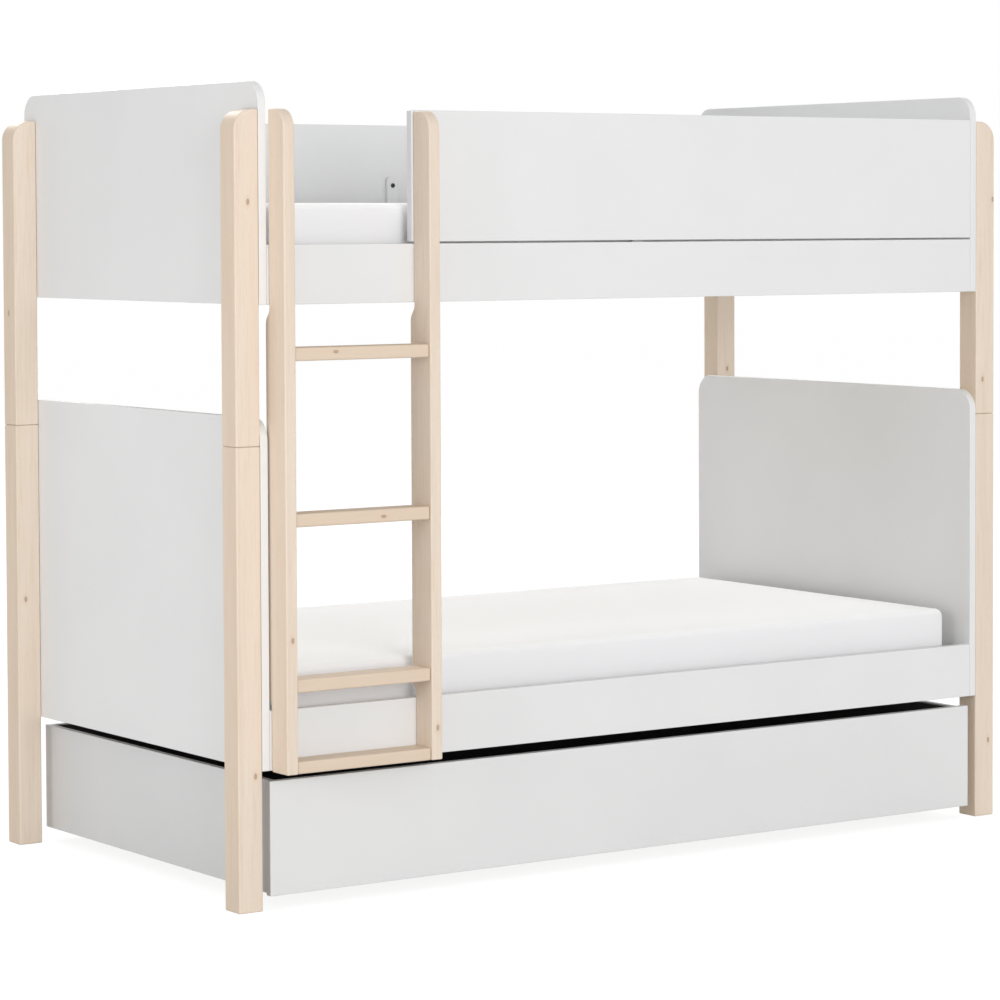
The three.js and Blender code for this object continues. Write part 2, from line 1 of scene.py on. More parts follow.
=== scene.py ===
# Convertible bunk bed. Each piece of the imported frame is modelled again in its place, with eased edges,
# its small details and its finish. Metres. X runs along the bed, -Y is the ladder side and +Z is up.
import bmesh
import bpy
import json
import math
from mathutils import Matrix, Vector

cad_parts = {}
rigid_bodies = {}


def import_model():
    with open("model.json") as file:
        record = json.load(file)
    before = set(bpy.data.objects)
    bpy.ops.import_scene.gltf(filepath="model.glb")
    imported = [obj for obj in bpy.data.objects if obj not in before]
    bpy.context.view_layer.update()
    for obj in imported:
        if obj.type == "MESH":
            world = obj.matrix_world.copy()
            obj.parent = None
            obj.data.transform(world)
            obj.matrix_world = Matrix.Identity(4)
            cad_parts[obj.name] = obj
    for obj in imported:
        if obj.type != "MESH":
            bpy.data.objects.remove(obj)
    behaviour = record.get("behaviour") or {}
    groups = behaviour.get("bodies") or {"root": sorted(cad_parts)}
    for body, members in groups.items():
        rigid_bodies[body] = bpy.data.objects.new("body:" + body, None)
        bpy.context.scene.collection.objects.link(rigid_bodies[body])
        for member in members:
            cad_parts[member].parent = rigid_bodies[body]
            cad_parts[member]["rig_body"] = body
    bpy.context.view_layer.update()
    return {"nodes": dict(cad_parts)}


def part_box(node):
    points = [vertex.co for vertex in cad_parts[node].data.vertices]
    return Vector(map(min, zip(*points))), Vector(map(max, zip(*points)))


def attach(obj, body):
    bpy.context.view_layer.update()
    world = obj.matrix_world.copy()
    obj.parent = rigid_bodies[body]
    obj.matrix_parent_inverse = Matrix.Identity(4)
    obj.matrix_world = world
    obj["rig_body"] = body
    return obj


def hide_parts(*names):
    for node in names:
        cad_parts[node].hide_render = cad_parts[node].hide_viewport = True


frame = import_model()
NODES = frame["nodes"]

MM = 0.001
NEAR = 0.05 * MM

CORNERS = ("front_left", "front_right", "rear_left", "rear_right")
BEDS = ("lower", "upper")
CLEAT_BOLTS = ("front_guard", "front_rail", "rear_guard", "rear_rail")
LADDER_BOLTS = ("rail_left", "rail_right", "guard")

# How finely edges and round pieces are made
EASE_STEPS = 3
FINE_EASE_STEPS = 4
SMALL_EASE_STEPS = 2
ROUND_CORNER_STEPS = 8
ROUND_SIDES = 48
SHARP_ANGLE = math.radians(30)
FACE_WEIGHT = 100
BORE_OVERRUN = 1 * MM

# Edges and corners of the wooden and lacquered boards
POST_EASE = 3 * MM
POST_TOP_RADIUS = 44 * MM
POST_TOP_STEPS = 14
BOARD_EASE = 1.5 * MM
PANEL_CORNER_RADIUS = 48 * MM
PANEL_CORNER_STEPS = 18
SLAT_EASE = 2 * MM
RUNG_EASE = 4 * MM

# Stacking pins and their bores
PIN_POINT = 2 * MM
PIN_CLEARANCE = 0.5 * MM

# Slats and the tapes that hold them
SLAT_COUNT = 14
SLAT_WIDTH = 68 * MM
SLAT_THICKNESS = 18 * MM
TAPE_WIDTH = 25 * MM
TAPE_SINK = 0.5 * MM
TAPE_INSET = 188 * MM
TAPE_END_INSET = SLAT_WIDTH / 4

# Ladder stiles
NOTCH = 15 * MM
NOTCH_GAP = 4 * MM
NOTCH_CURVE = 36 * MM
NOTCH_STEPS = 12
STILE_TOP_RADIUS = 42 * MM
STILE_TOP_STEPS = 14
STILE_EASE = 3 * MM

# Cleats and bolts
CLEAT_CORNER_RADIUS = 9 * MM
BOLT_HEAD_HEIGHT = 2.5 * MM
BOLT_HEAD_EASE = 1 * MM
BOLT_EASE = 0.2 * MM
BOLT_SHANK_RADIUS = 3 * MM
BOLT_CLEARANCE = 0.5 * MM
SOCKET_RADIUS = 2.4 * MM
SOCKET_DEPTH = 1.8 * MM
HEX = 6

# Drawer
GROOVE_CLEARANCE = 0.3 * MM
PLYWOOD_EASE = 0.6 * MM
LINER_THICKNESS = 3 * MM
LINER_EASE = 1 * MM
LINER_CORNER_RADIUS = 8 * MM
LINER_CORNER_STEPS = 6

# Castors
WHEEL_SIDES = 96
WHEEL_EDGE = 4 * MM
WHEEL_EDGE_STEPS = 6
WHEEL_RIM = 6 * MM
WHEEL_WEB_INSET = 4 * MM
WHEEL_HUB_RADIUS = 8 * MM
WHEEL_SMALL_EASE = 0.6 * MM
AXLE_RADIUS = 3 * MM
AXLE_BORE_RADIUS = 3.4 * MM
AXLE_HEAD_RADIUS = 5 * MM
AXLE_HEAD_LENGTH = 1.5 * MM
AXLE_HEAD_EASE = 0.9 * MM
AXLE_HEAD_SINK = 1 * MM
FORK_GAP = 1.2 * MM
FORK_THICKNESS = 2 * MM
FORK_TOP_WIDTH = 34 * MM
FORK_RADIUS = 9 * MM
FORK_EASE = 0.5 * MM
PLATE_THICKNESS = 2.5 * MM
PLATE_RADIUS = 6 * MM
SCREW_SIDES = 24
SCREW_HEAD_RADIUS = 3.5 * MM
SCREW_HEAD_HEIGHT = 1.8 * MM
SCREW_EDGE_DISTANCE = 6.5 * MM
SCREW_EASE = 0.9 * MM
RECESS_LENGTH = 4 * MM
RECESS_WIDTH = 0.9 * MM
RECESS_DEPTH = 1.1 * MM

# Mattresses
MATTRESS_CORNER_RADIUS = 20 * MM
MATTRESS_EDGE_RADIUS = 18 * MM
MATTRESS_EDGE_STEPS = 4
MATTRESS_SWELL = 4 * MM
MATTRESS_CELL = 30 * MM
MATTRESS_PRESSURE = 4
MATTRESS_FRAMES = 20

# The camera stands where the photograph's stood. Its numbers are for a picture of 1000 by 1000 pixels.
PICTURE = 1000
CAMERA_PLACE = Vector((-4.6441, -6.7580, 1.4253))
CAMERA_YAW = math.radians(35.0442)
CAMERA_PITCH = math.radians(2.4221)
CAMERA_ROLL = math.radians(-0.2)
CAMERA_FOCUS_PIXELS = 3518.6
CAMERA_CENTRE_PIXEL = (550.0, 370.0)
CAMERA_REACH = 100
SENSOR_WIDTH = 36


def make_camera():
    data = bpy.data.cameras.new("camera")
    data.sensor_width = SENSOR_WIDTH
    data.lens = CAMERA_FOCUS_PIXELS / PICTURE * SENSOR_WIDTH
    data.shift_x = (PICTURE / 2 - CAMERA_CENTRE_PIXEL[0]) / PICTURE
    data.shift_y = (CAMERA_CENTRE_PIXEL[1] - PICTURE / 2) / PICTURE
    data.clip_end = CAMERA_REACH
    camera = bpy.data.objects.new("camera", data)
    bpy.context.scene.collection.objects.link(camera)
    aim = Matrix.Rotation(-CAMERA_YAW, 4, "Z") @ Matrix.Rotation(math.pi / 2 - CAMERA_PITCH, 4, "X")
    camera.matrix_world = Matrix.Translation(CAMERA_PLACE) @ aim @ Matrix.Rotation(CAMERA_ROLL, 4, "Z")
    bpy.context.scene.camera = camera


# Light and stage: a broad low key in front, weaker lights on both sides and one from behind, and the room
KEY_PLACE = Vector((-2.2, -12.0, 2.8))
KEY_SIZE = 7.0
KEY_WATTS = 725
LEFT_PLACE = Vector((-4.2, -1.0, 1.2))
LEFT_SIZE = 1.6
LEFT_WATTS = 33
RIGHT_PLACE = Vector((5.0, 0.8, 2.2))
RIGHT_SIZE = 1.8
RIGHT_WATTS = 45
BACK_PLACE = Vector((1.0, 8.6, 6.6))
BACK_SIZE = 3.0
BACK_WATTS = 500
LIGHT_AIM = Vector((0, 0, 0.8))
WORLD_LEVEL = 0.58
FLOOR_SIZE = 60
FLOOR_GLOW = 0.88
FLOOR_SHEEN = 0.2
FLOOR_BOUNCE = 0.64
WHITE = (1, 1, 1, 1)


def add_node(tree, kind, settings=None, values=None, **inputs):
    """A shader node with its settings, its inputs by place (values) and its inputs by name."""
    item = tree.nodes.new("ShaderNode" + kind)
    for key, value in (settings or {}).items():
        setattr(item, key, value)
    named = [(item.inputs[key.replace("_", " ")], value) for key, value in inputs.items()]
    placed = [(item.inputs[index], value) for index, value in (values or {}).items()]
    for socket, value in named + placed:
        if isinstance(value, bpy.types.NodeSocket):
            tree.links.new(value, socket)
        else:
            socket.default_value = value
    return item


def maths(tree, operation, first, second=0.0):
    return add_node(tree, "Math", {"operation": operation}, {0: first, 1: second}).outputs[0]


def seen_directly(tree):
    """1 for camera, glossy and transmission rays, 0 for the rays that carry light."""
    path = add_node(tree, "LightPath")
    either = maths(tree, "MAXIMUM", path.outputs["Is Camera Ray"], path.outputs["Is Glossy Ray"])
    return maths(tree, "MAXIMUM", either, path.outputs["Is Transmission Ray"])


def make_world():
    world = bpy.data.worlds.new("studio")
    world.use_nodes = True
    tree = world.node_tree
    tree.nodes.clear()
    level = add_node(tree, "MapRange", values={0: seen_directly(tree), 3: WORLD_LEVEL, 4: 1.0})
    light = add_node(tree, "Background", Color=WHITE, Strength=level.outputs[0])
    output = add_node(tree, "OutputWorld")
    tree.links.new(light.outputs[0], output.inputs["Surface"])
    bpy.context.scene.world = world


def make_floor():
    """A pale floor. Seen directly it is white, with the object's soft shadow."""
    bpy.ops.object.select_all(action="DESELECT")
    bpy.ops.mesh.primitive_plane_add(size=FLOOR_SIZE)
    floor = bpy.context.object
    floor.name = "floor"
    material = bpy.data.materials.new("floor")
    material.use_nodes = True
    tree = material.node_tree
    tree.nodes.clear()
    bounce = add_node(tree, "BsdfDiffuse", Color=(FLOOR_BOUNCE, FLOOR_BOUNCE, FLOOR_BOUNCE, 1))
    shade = add_node(tree, "BsdfDiffuse", Color=(FLOOR_SHEEN, FLOOR_SHEEN, FLOOR_SHEEN, 1))
    glow = add_node(tree, "Emission", Color=WHITE, Strength=FLOOR_GLOW)
    lit = add_node(tree, "AddShader", values={0: shade.outputs[0], 1: glow.outputs[0]})
    mix = add_node(tree, "MixShader", values={
        0: seen_directly(tree), 1: bounce.outputs[0], 2: lit.outputs[0]})
    output = add_node(tree, "OutputMaterial")
    tree.links.new(mix.outputs[0], output.inputs["Surface"])
    floor.data.materials.append(material)


def make_soft_light(name, place, size, watts):
    data = bpy.data.lights.new(name, "AREA")
    data.shape = "DISK"
    data.size = size
    data.energy = watts
    light = bpy.data.objects.new(name, data)
    light.location = place
    light.rotation_euler = (LIGHT_AIM - place).to_track_quat("-Z", "Y").to_euler()
    bpy.context.scene.collection.objects.link(light)


# Materials. A pattern is a noise's settings. A band is the stretch of a pattern that makes the difference,
# from where it begins to where it is full.
MIDDLE_BAND = (0.3, 0.7)


def start_material(name):
    """A new node material, its tree and its principled shader."""
    material = bpy.data.materials.new(name)
    material.use_nodes = True
    tree = material.node_tree
    return material, tree, tree.nodes["Principled BSDF"]


def object_place(tree, scale=(1, 1, 1)):
    """The piece's own coordinates, in metres, scaled by axis."""
    coordinates = add_node(tree, "TexCoord")
    return add_node(tree, "Mapping", Vector=coordinates.outputs["Object"], Scale=scale).outputs[0]


def noise(tree, place, scale, detail=2.0, roughness=0.5, distortion=0.0):
    texture = add_node(tree, "TexNoise", Vector=place, Scale=scale, Detail=detail,
                       Roughness=roughness, Distortion=distortion)
    return texture.outputs[0]


def spread(tree, value, band, to=(0.0, 1.0)):
    """The value's stretch in the band, spread over another one."""
    ranged = add_node(tree, "MapRange", {"clamp": True}, {
        0: value, 1: band[0], 2: band[1], 3: to[0], 4: to[1]})
    return ranged.outputs[0]


def mixed(tree, share, first, second):
    return add_node(tree, "Mix", {"data_type": "RGBA"}, {0: share, 6: first, 7: second}).outputs[2]


def finish_surface(tree, shader, base, roughness, relief, depth, strength):
    """Gives the shader its colour, its roughness and a fine relief of some depth."""
    tree.links.new(base, shader.inputs["Base Color"])
    if isinstance(roughness, bpy.types.NodeSocket):
        tree.links.new(roughness, shader.inputs["Roughness"])
    else:
        shader.inputs["Roughness"].default_value = roughness
    bump = add_node(tree, "Bump", Height=relief, Distance=depth, Strength=strength)
    tree.links.new(bump.outputs[0], shader.inputs["Normal"])


def set_shader(shader, **values):
    """Sets the shader's own sockets by name."""
    for key, value in values.items():
        shader.inputs[key.replace("_", " ")].default_value = value


def colour(red, green, blue):
    """A linear colour from the 0 to 255 values that a screen shows, by the sRGB curve."""
    def linear(level):
        share = level / 255
        return share / 12.92 if share <= 0.04045 else ((share + 0.055) / 1.055) ** 2.4
    return (linear(red), linear(green), linear(blue), 1)


# Pin knots that show on the posts and the ladder, in millimetres in the bed's frame
KNOTS = [
    (-836.0, -558.7, 1157.6), (-721.3, -558.7, 810.7), (-945.8, -561.7, 565.7), (-590.9, -561.7, 356.2),
    (-1008.2, -498.4, 1467.0), (-999.4, -498.4, 282.5), (-1040.0, 534.4, 1219.8), (-1019.6, 502.7, 564.6),
    (1034.9, -498.4, 1473.9), (1003.8, -498.4, 1046.0), (1023.2, -498.4, 181.4), (1013.9, 502.6, 1038.6),
]
KNOT_RADIUS = 4 * MM
KNOT_HALO = 10 * MM
KNOT_FLATNESS = 0.55
KNOT_BEND = 6 * MM
KNOT_HEART_BAND = (KNOT_RADIUS * 0.4, KNOT_RADIUS * 0.8)
KNOT_RIM_BAND = (KNOT_RADIUS * 0.7, KNOT_RADIUS)
KNOT_SHARE = 0.8
KNOT_HALO_SHARE = 0.35

BEECH_LIGHT = colour(228, 213, 197)
BEECH_MIDDLE = colour(222, 205, 187)
BEECH_DARK = colour(210, 187, 162)
# Painted shade: the colour taken by the faces along X
BEECH_SIDE_PAINTED_SHADE = colour(201, 175, 140)
BEECH_KNOT = colour(176, 144, 116)
BEECH_KNOT_RING = colour(150, 116, 90)
BEECH_STREAK_STRETCH = 0.045
BEECH_DASH_STRETCH = 0.12
BEECH_CLOUDS = {"scale": 26, "detail": 3, "roughness": 0.55, "distortion": 0.4}
BEECH_STREAKS = {"scale": 210, "detail": 4, "roughness": 0.6, "distortion": 0.2}
BEECH_FLECKS = {"scale": 900}
BEECH_STREAK_BAND = (0.5, 0.72)
BEECH_STREAK_TONE = (0.0, 0.38)
BEECH_FLECK_BAND = (0.62, 0.75)
BEECH_FLECK_TONE = (0.0, 0.45)
BEECH_ROUGHNESS = (0.5, 0.62)
BEECH_FLECK_DEPTH_SHARE = -0.6
BEECH_RUNG_TAN = 0.5
# Shares of the painted side shade, for the posts and for the stiles
BEECH_SIDE_SHADE_SHARE = 0.27
BEECH_STILE_SIDE_SHADE_SHARE = 0.08


def along_grain(axis, stretch):
    """A scale that draws a pattern out along one axis. The smaller the stretch's value, the longer it is."""
    return [stretch if item == axis else 1.0 for item in range(3)]


def knot_distance(tree, place, flatness):
    """How far the nearest pin knot is, measured short along the grain."""
    here = add_node(tree, "Mapping", Vector=place, Scale=flatness).outputs[0]
    nearest = None
    for point in KNOTS:
        there = Vector([part * MM * share for part, share in zip(point, flatness)])
        gap = add_node(tree, "VectorMath", {"operation": "DISTANCE"}, {0: here, 1: there})
        reach = gap.outputs["Value"]
        nearest = reach if nearest is None else maths(tree, "MINIMUM", nearest, reach)
    return nearest


def add_knots(tree, base, knot):
    """Pin knots over the wood's colour: a faint halo, a darker ring and a brown heart."""
    halo = spread(tree, knot, (KNOT_RADIUS, KNOT_HALO), (KNOT_HALO_SHARE, 0.0))
    heart = mixed(tree, spread(tree, knot, KNOT_HEART_BAND), BEECH_KNOT, BEECH_KNOT_RING)
    base = mixed(tree, halo, base, BEECH_DARK)
    return mixed(tree, spread(tree, knot, KNOT_RIM_BAND, (KNOT_SHARE, 0.0)), base, heart)


def beech_material(name, along, tan=0.0, side_shade=BEECH_SIDE_SHADE_SHARE):
    """Pale, white-oiled beech with its grain along one axis, which bends round the knots.

    The shares make it browner: the first share of tan all over, the second one on faces along X only, as
    painted shade on those sides.
    """
    material, tree, shader = start_material(name)
    axis = "XYZ".index(along)
    coordinates = add_node(tree, "TexCoord")
    place = coordinates.outputs["Object"]
    knot = knot_distance(tree, place, along_grain(axis, KNOT_FLATNESS))
    bend = spread(tree, knot, (0.0, KNOT_HALO), (KNOT_BEND, 0.0))
    bent = add_node(tree, "VectorMath", {"operation": "ADD"}, {0: place, 1: bend}).outputs[0]
    rows = add_node(tree, "Mapping", Vector=bent, Scale=along_grain(axis, BEECH_STREAK_STRETCH)).outputs[0]
    dashes = add_node(tree, "Mapping", Vector=bent, Scale=along_grain(axis, BEECH_DASH_STRETCH)).outputs[0]
    clouds = noise(tree, rows, **BEECH_CLOUDS)
    streaks = noise(tree, rows, **BEECH_STREAKS)
    flecks = noise(tree, dashes, **BEECH_FLECKS)
    base = mixed(tree, spread(tree, clouds, MIDDLE_BAND), BEECH_LIGHT, BEECH_MIDDLE)
    base = mixed(tree, spread(tree, streaks, BEECH_STREAK_BAND, BEECH_STREAK_TONE), base, BEECH_DARK)
    base = mixed(tree, spread(tree, flecks, BEECH_FLECK_BAND, BEECH_FLECK_TONE), base, BEECH_DARK)
    base = mixed(tree, tan, base, BEECH_DARK)
    # Painted shade: faces along X take the darker, browner side colour
    facing = add_node(tree, "SeparateXYZ", Vector=coordinates.outputs["Normal"])
    side = maths(tree, "ABSOLUTE", facing.outputs[0])
    base = mixed(tree, maths(tree, "MULTIPLY", side, side_shade), base, BEECH_SIDE_PAINTED_SHADE)
    base = add_knots(tree, base, knot)
    fibres = maths(tree, "ADD", streaks, maths(tree, "MULTIPLY", flecks, BEECH_FLECK_DEPTH_SHARE))
    roughness = spread(tree, streaks, MIDDLE_BAND, BEECH_ROUGHNESS)
    finish_surface(tree, shader, base, roughness, fibres, depth=0.12 * MM, strength=0.6)
    return material


LACQUER_WHITE = colour(228, 228, 228)
LACQUER_SHADE = colour(225, 225, 225)
# Painted shade: the drawer's boards are the same white lacquer as the bed, made darker for the shade low
# under it, the box more than the front
DRAWER_FRONT_SHADED_WHITE = colour(224, 224, 224)
DRAWER_FRONT_SHADED_MOTTLE = colour(221, 221, 221)
DRAWER_BOX_SHADED_WHITE = colour(217, 217, 217)
DRAWER_BOX_SHADED_MOTTLE = colour(214, 214, 214)
LACQUER_CLOUDS = {"scale": 4, "detail": 3}
LACQUER_SATIN = {"scale": 35, "detail": 3}
LACQUER_PEEL = {"scale": 380}
LACQUER_ROUGHNESS = (0.36, 0.44)


def lacquer_material(name, light, shade):
    """Satin white lacquer on board: even, with a faint orange-peel surface."""
    material, tree, shader = start_material(name)
    place = object_place(tree)
    base = mixed(tree, spread(tree, noise(tree, place, **LACQUER_CLOUDS), MIDDLE_BAND), light, shade)
    roughness = spread(tree, noise(tree, place, **LACQUER_SATIN), MIDDLE_BAND, LACQUER_ROUGHNESS)
    peel = noise(tree, place, **LACQUER_PEEL)
    finish_surface(tree, shader, base, roughness, peel, depth=0.06 * MM, strength=0.35)
    return material


PINE_LIGHT = colour(236, 225, 206)
PINE_DARK = colour(216, 196, 166)
PINE_STRETCH = 0.05
PINE_YEAR_LINES = {"scale": 60, "detail": 4, "roughness": 0.55, "distortion": 0.8}
PINE_FIBRES = {"scale": 420, "detail": 3}
PINE_LINE_BAND = (0.45, 0.62)
PINE_FIBRE_BAND = (0.5, 0.8)
PINE_FIBRE_TONE = (0.0, 0.35)
PINE_ROUGHNESS = (0.58, 0.72)


def pine_material(name, along):
    """Planed pine with clear year lines along one axis."""
    material, tree, shader = start_material(name)
    rows = object_place(tree, along_grain("XYZ".index(along), PINE_STRETCH))
    lines = noise(tree, rows, **PINE_YEAR_LINES)
    fibres = noise(tree, rows, **PINE_FIBRES)
    base = mixed(tree, spread(tree, lines, PINE_LINE_BAND), PINE_LIGHT, PINE_DARK)
    base = mixed(tree, spread(tree, fibres, PINE_FIBRE_BAND, PINE_FIBRE_TONE), base, PINE_DARK)
    roughness = spread(tree, fibres, MIDDLE_BAND, PINE_ROUGHNESS)
    finish_surface(tree, shader, base, roughness, fibres, depth=0.15 * MM, strength=0.7)
    return material


PLYWOOD_FACE = colour(222, 201, 167)
PLYWOOD_LINE = colour(199, 172, 132)
PLYWOOD_STRETCH = 0.12
PLYWOOD_FIGURE = {"scale": 14, "detail": 5, "roughness": 0.6, "distortion": 1.6}
PLYWOOD_PORES = {"scale": 420, "detail": 3, "roughness": 0.6}
PLYWOOD_FIGURE_BAND = (0.35, 0.68)
PLYWOOD_FIGURE_TONE = (0.0, 0.55)
PLYWOOD_PORE_BAND = (0.55, 0.75)
PLYWOOD_PORE_TONE = (0.0, 0.5)
PLYWOOD_ROUGHNESS = (0.6, 0.72)


def plywood_material():
    """Birch plywood: a calm rotary-cut figure with fine pores along it."""
    material, tree, shader = start_material("birch plywood")
    rows = object_place(tree, along_grain(0, PLYWOOD_STRETCH))
    figure = noise(tree, rows, **PLYWOOD_FIGURE)
    pores = noise(tree, rows, **PLYWOOD_PORES)
    figure_tone = spread(tree, figure, PLYWOOD_FIGURE_BAND, PLYWOOD_FIGURE_TONE)
    base = mixed(tree, figure_tone, PLYWOOD_FACE, PLYWOOD_LINE)
    base = mixed(tree, spread(tree, pores, PLYWOOD_PORE_BAND, PLYWOOD_PORE_TONE), base, PLYWOOD_LINE)
    roughness = spread(tree, pores, MIDDLE_BAND, PLYWOOD_ROUGHNESS)
    finish_surface(tree, shader, base, roughness, pores, depth=0.1 * MM, strength=0.5)
    return material


COVER_WHITE = colour(252, 254, 255)
# Painted shade down in the knit's hollows
COVER_STITCH_HOLLOW_SHADE = colour(248, 250, 251)
# Painted shade of the mattress's sides
COVER_SIDE_PAINTED_SHADE = colour(237, 237, 239)
COVER_SIDE_SHADE_BAND = (0.35, 0.75)
COVER_ROUGHNESS = (0.86, 0.96)
KNIT_PITCH = 2.2 * MM
STITCH_BAND = (-1.2, 0.6)
STITCH_HOLLOW_SHADE_TONE = (0.7, 0.0)
YARN = {"scale": 900}
SOFT_FOLDS = {"scale": 9, "detail": 3}
STITCH_DEPTH_SHARE = 0.25
YARN_DEPTH_SHARE = 0.3
FOLD_DEPTH_SHARE = 2.0


def knit_stitches(tree):
    """Small stitches in rows, on faces of every direction."""
    turns = 2 * math.pi / KNIT_PITCH
    parts = add_node(tree, "SeparateXYZ", Vector=object_place(tree, (turns, turns, turns)))
    waves = [(maths(tree, "SINE", part), maths(tree, "COSINE", part)) for part in parts.outputs]
    products = [maths(tree, "MULTIPLY", waves[item][0], waves[(item + 1) % 3][1]) for item in range(3)]
    return maths(tree, "ADD", maths(tree, "ADD", products[0], products[1]), products[2])


def cover_material():
    """Fine white knit with a sheen. Round the sides it is a little greyer than on top, which is painted
    shade.
    """
    material, tree, shader = start_material("white knit cover")
    stitches = knit_stitches(tree)
    place = object_place(tree)
    yarn = noise(tree, place, **YARN)
    folds = noise(tree, place, **SOFT_FOLDS)
    # Painted shade: the knit is greyer in the hollows between its stitches, where its relief is low
    base = mixed(tree, spread(tree, stitches, STITCH_BAND, STITCH_HOLLOW_SHADE_TONE), COVER_WHITE, COVER_STITCH_HOLLOW_SHADE)
    # Painted shade: faces that point sideways take the greyer colour, so the top looks the brighter
    coordinates = add_node(tree, "TexCoord")
    facing = add_node(tree, "SeparateXYZ", Vector=coordinates.outputs["Normal"])
    level = spread(tree, maths(tree, "ABSOLUTE", facing.outputs[2]), COVER_SIDE_SHADE_BAND)
    base = mixed(tree, level, COVER_SIDE_PAINTED_SHADE, base)
    set_shader(shader, Sheen_Weight=1.0, Sheen_Roughness=0.75, Specular_IOR_Level=0.25)
    knit = maths(tree, "ADD", maths(tree, "MULTIPLY", stitches, STITCH_DEPTH_SHARE),
                 maths(tree, "MULTIPLY", yarn, YARN_DEPTH_SHARE))
    height = maths(tree, "ADD", knit, maths(tree, "MULTIPLY", folds, FOLD_DEPTH_SHARE))
    roughness = spread(tree, yarn, MIDDLE_BAND, COVER_ROUGHNESS)
    finish_surface(tree, shader, base, roughness, height, depth=0.5 * MM, strength=0.6)
    return material


FELT_BLACK = colour(68, 69, 71)
FELT_LINT = colour(94, 95, 98)
FELT_FIBRES = {"scale": 700, "detail": 4, "roughness": 0.7, "distortion": 1.5}
FELT_PATCHES = {"scale": 30, "detail": 3}
FELT_LINT_BAND = (0.45, 0.75)
FELT_PATCH_BAND = (0.2, 0.8)
FELT_PATCH_TONE = (0.5, 1.0)
FELT_ROUGHNESS = (0.88, 1.0)


def felt_material():
    """Black needle felt: matted fibres with a dusty sheen."""
    material, tree, shader = start_material("black felt")
    place = object_place(tree)
    fibres = noise(tree, place, **FELT_FIBRES)
    patches = noise(tree, place, **FELT_PATCHES)
    lint = maths(tree, "MULTIPLY", spread(tree, fibres, FELT_LINT_BAND),
                 spread(tree, patches, FELT_PATCH_BAND, FELT_PATCH_TONE))
    base = mixed(tree, lint, FELT_BLACK, FELT_LINT)
    set_shader(shader, Sheen_Weight=0.1, Specular_IOR_Level=0.15)
    roughness = spread(tree, fibres, MIDDLE_BAND, FELT_ROUGHNESS)
    finish_surface(tree, shader, base, roughness, fibres, depth=0.6 * MM, strength=0.8)
    return material


WEBBING_LIGHT = colour(231, 226, 214)
WEBBING_HOLLOW_SHADE = colour(196, 189, 172)
WEBBING_PITCH = 1.4 * MM
WEBBING_BAND = (-1.0, 0.4)
WEBBING_HOLLOW_SHADE_TONE = (0.8, 0.0)
WEBBING_ROUGHNESS = 0.9


def webbing_material():
    """Natural cotton tape in a plain weave, painted greyer in the weave's hollows as shade."""
    material, tree, shader = start_material("cotton tape")
    turns = 2 * math.pi / WEBBING_PITCH
    parts = add_node(tree, "SeparateXYZ", Vector=object_place(tree, (turns, turns, turns)))
    along, across = [maths(tree, "SINE", parts.outputs[item]) for item in (0, 1)]
    weave = maths(tree, "MULTIPLY", along, across)
    # Painted shade: the tape is greyer where the weave is low
    base = mixed(tree, spread(tree, weave, WEBBING_BAND, WEBBING_HOLLOW_SHADE_TONE), WEBBING_LIGHT, WEBBING_HOLLOW_SHADE)
    finish_surface(tree, shader, base, WEBBING_ROUGHNESS, weave, depth=0.3 * MM, strength=0.7)
    return material


ZINC_BRIGHT = colour(196, 199, 204)
ZINC_DULL = colour(160, 163, 168)
STEEL_BLACK = colour(60, 61, 63)
STEEL_WORN = colour(98, 99, 101)
RUBBER_DARK = colour(48, 49, 52)
RUBBER_DUST = colour(78, 78, 80)
CORE_GREY = colour(118, 120, 123)
CORE_SHADE = colour(104, 106, 109)


def mottled_material(name, colours, mottle, band, roughness, depth, strength, relief=None, metallic=0.0):
    """A surface mottled in two close colours, and rougher where it is mottled.

    Without a fine relief of its own it is raised by the same mottle.
    """
    material, tree, shader = start_material(name)
    place = object_place(tree)
    spots = noise(tree, place, **mottle)
    raised = noise(tree, place, **relief) if relief else spots
    base = mixed(tree, spread(tree, spots, band), *colours)
    set_shader(shader, Metallic=metallic)
    finish_surface(tree, shader, base, spread(tree, spots, MIDDLE_BAND, roughness), raised, depth, strength)
    return material


def zinc_material():
    """Bright zinc plate with soft spangle."""
    return mottled_material(
        "zinc plate", (ZINC_BRIGHT, ZINC_DULL),
        mottle={"scale": 160, "detail": 3, "roughness": 0.6}, band=(0.35, 0.65), roughness=(0.28, 0.46),
        relief={"scale": 1200}, depth=0.03 * MM, strength=0.4, metallic=1.0)


def black_steel_material():
    """Black oxide on steel, a little worn."""
    return mottled_material(
        "black oxide steel", (STEEL_BLACK, STEEL_WORN),
        mottle={"scale": 420, "detail": 4, "roughness": 0.65}, band=(0.55, 0.75), roughness=(0.3, 0.5),
        depth=0.04 * MM, strength=0.5, metallic=0.8)


def rubber_material():
    """Dark castor rubber with a dusty tread."""
    return mottled_material(
        "castor rubber", (RUBBER_DARK, RUBBER_DUST),
        mottle={"scale": 130, "detail": 4, "roughness": 0.6}, band=(0.5, 0.8), roughness=(0.6, 0.8),
        relief={"scale": 1600, "detail": 3}, depth=0.08 * MM, strength=0.6)


def core_material():
    """Grey moulded plastic of the castor cores."""
    return mottled_material(
        "castor core plastic", (CORE_GREY, CORE_SHADE),
        mottle={"scale": 260, "detail": 3}, band=MIDDLE_BAND, roughness=(0.42, 0.52),
        relief={"scale": 1400}, depth=0.05 * MM, strength=0.5)


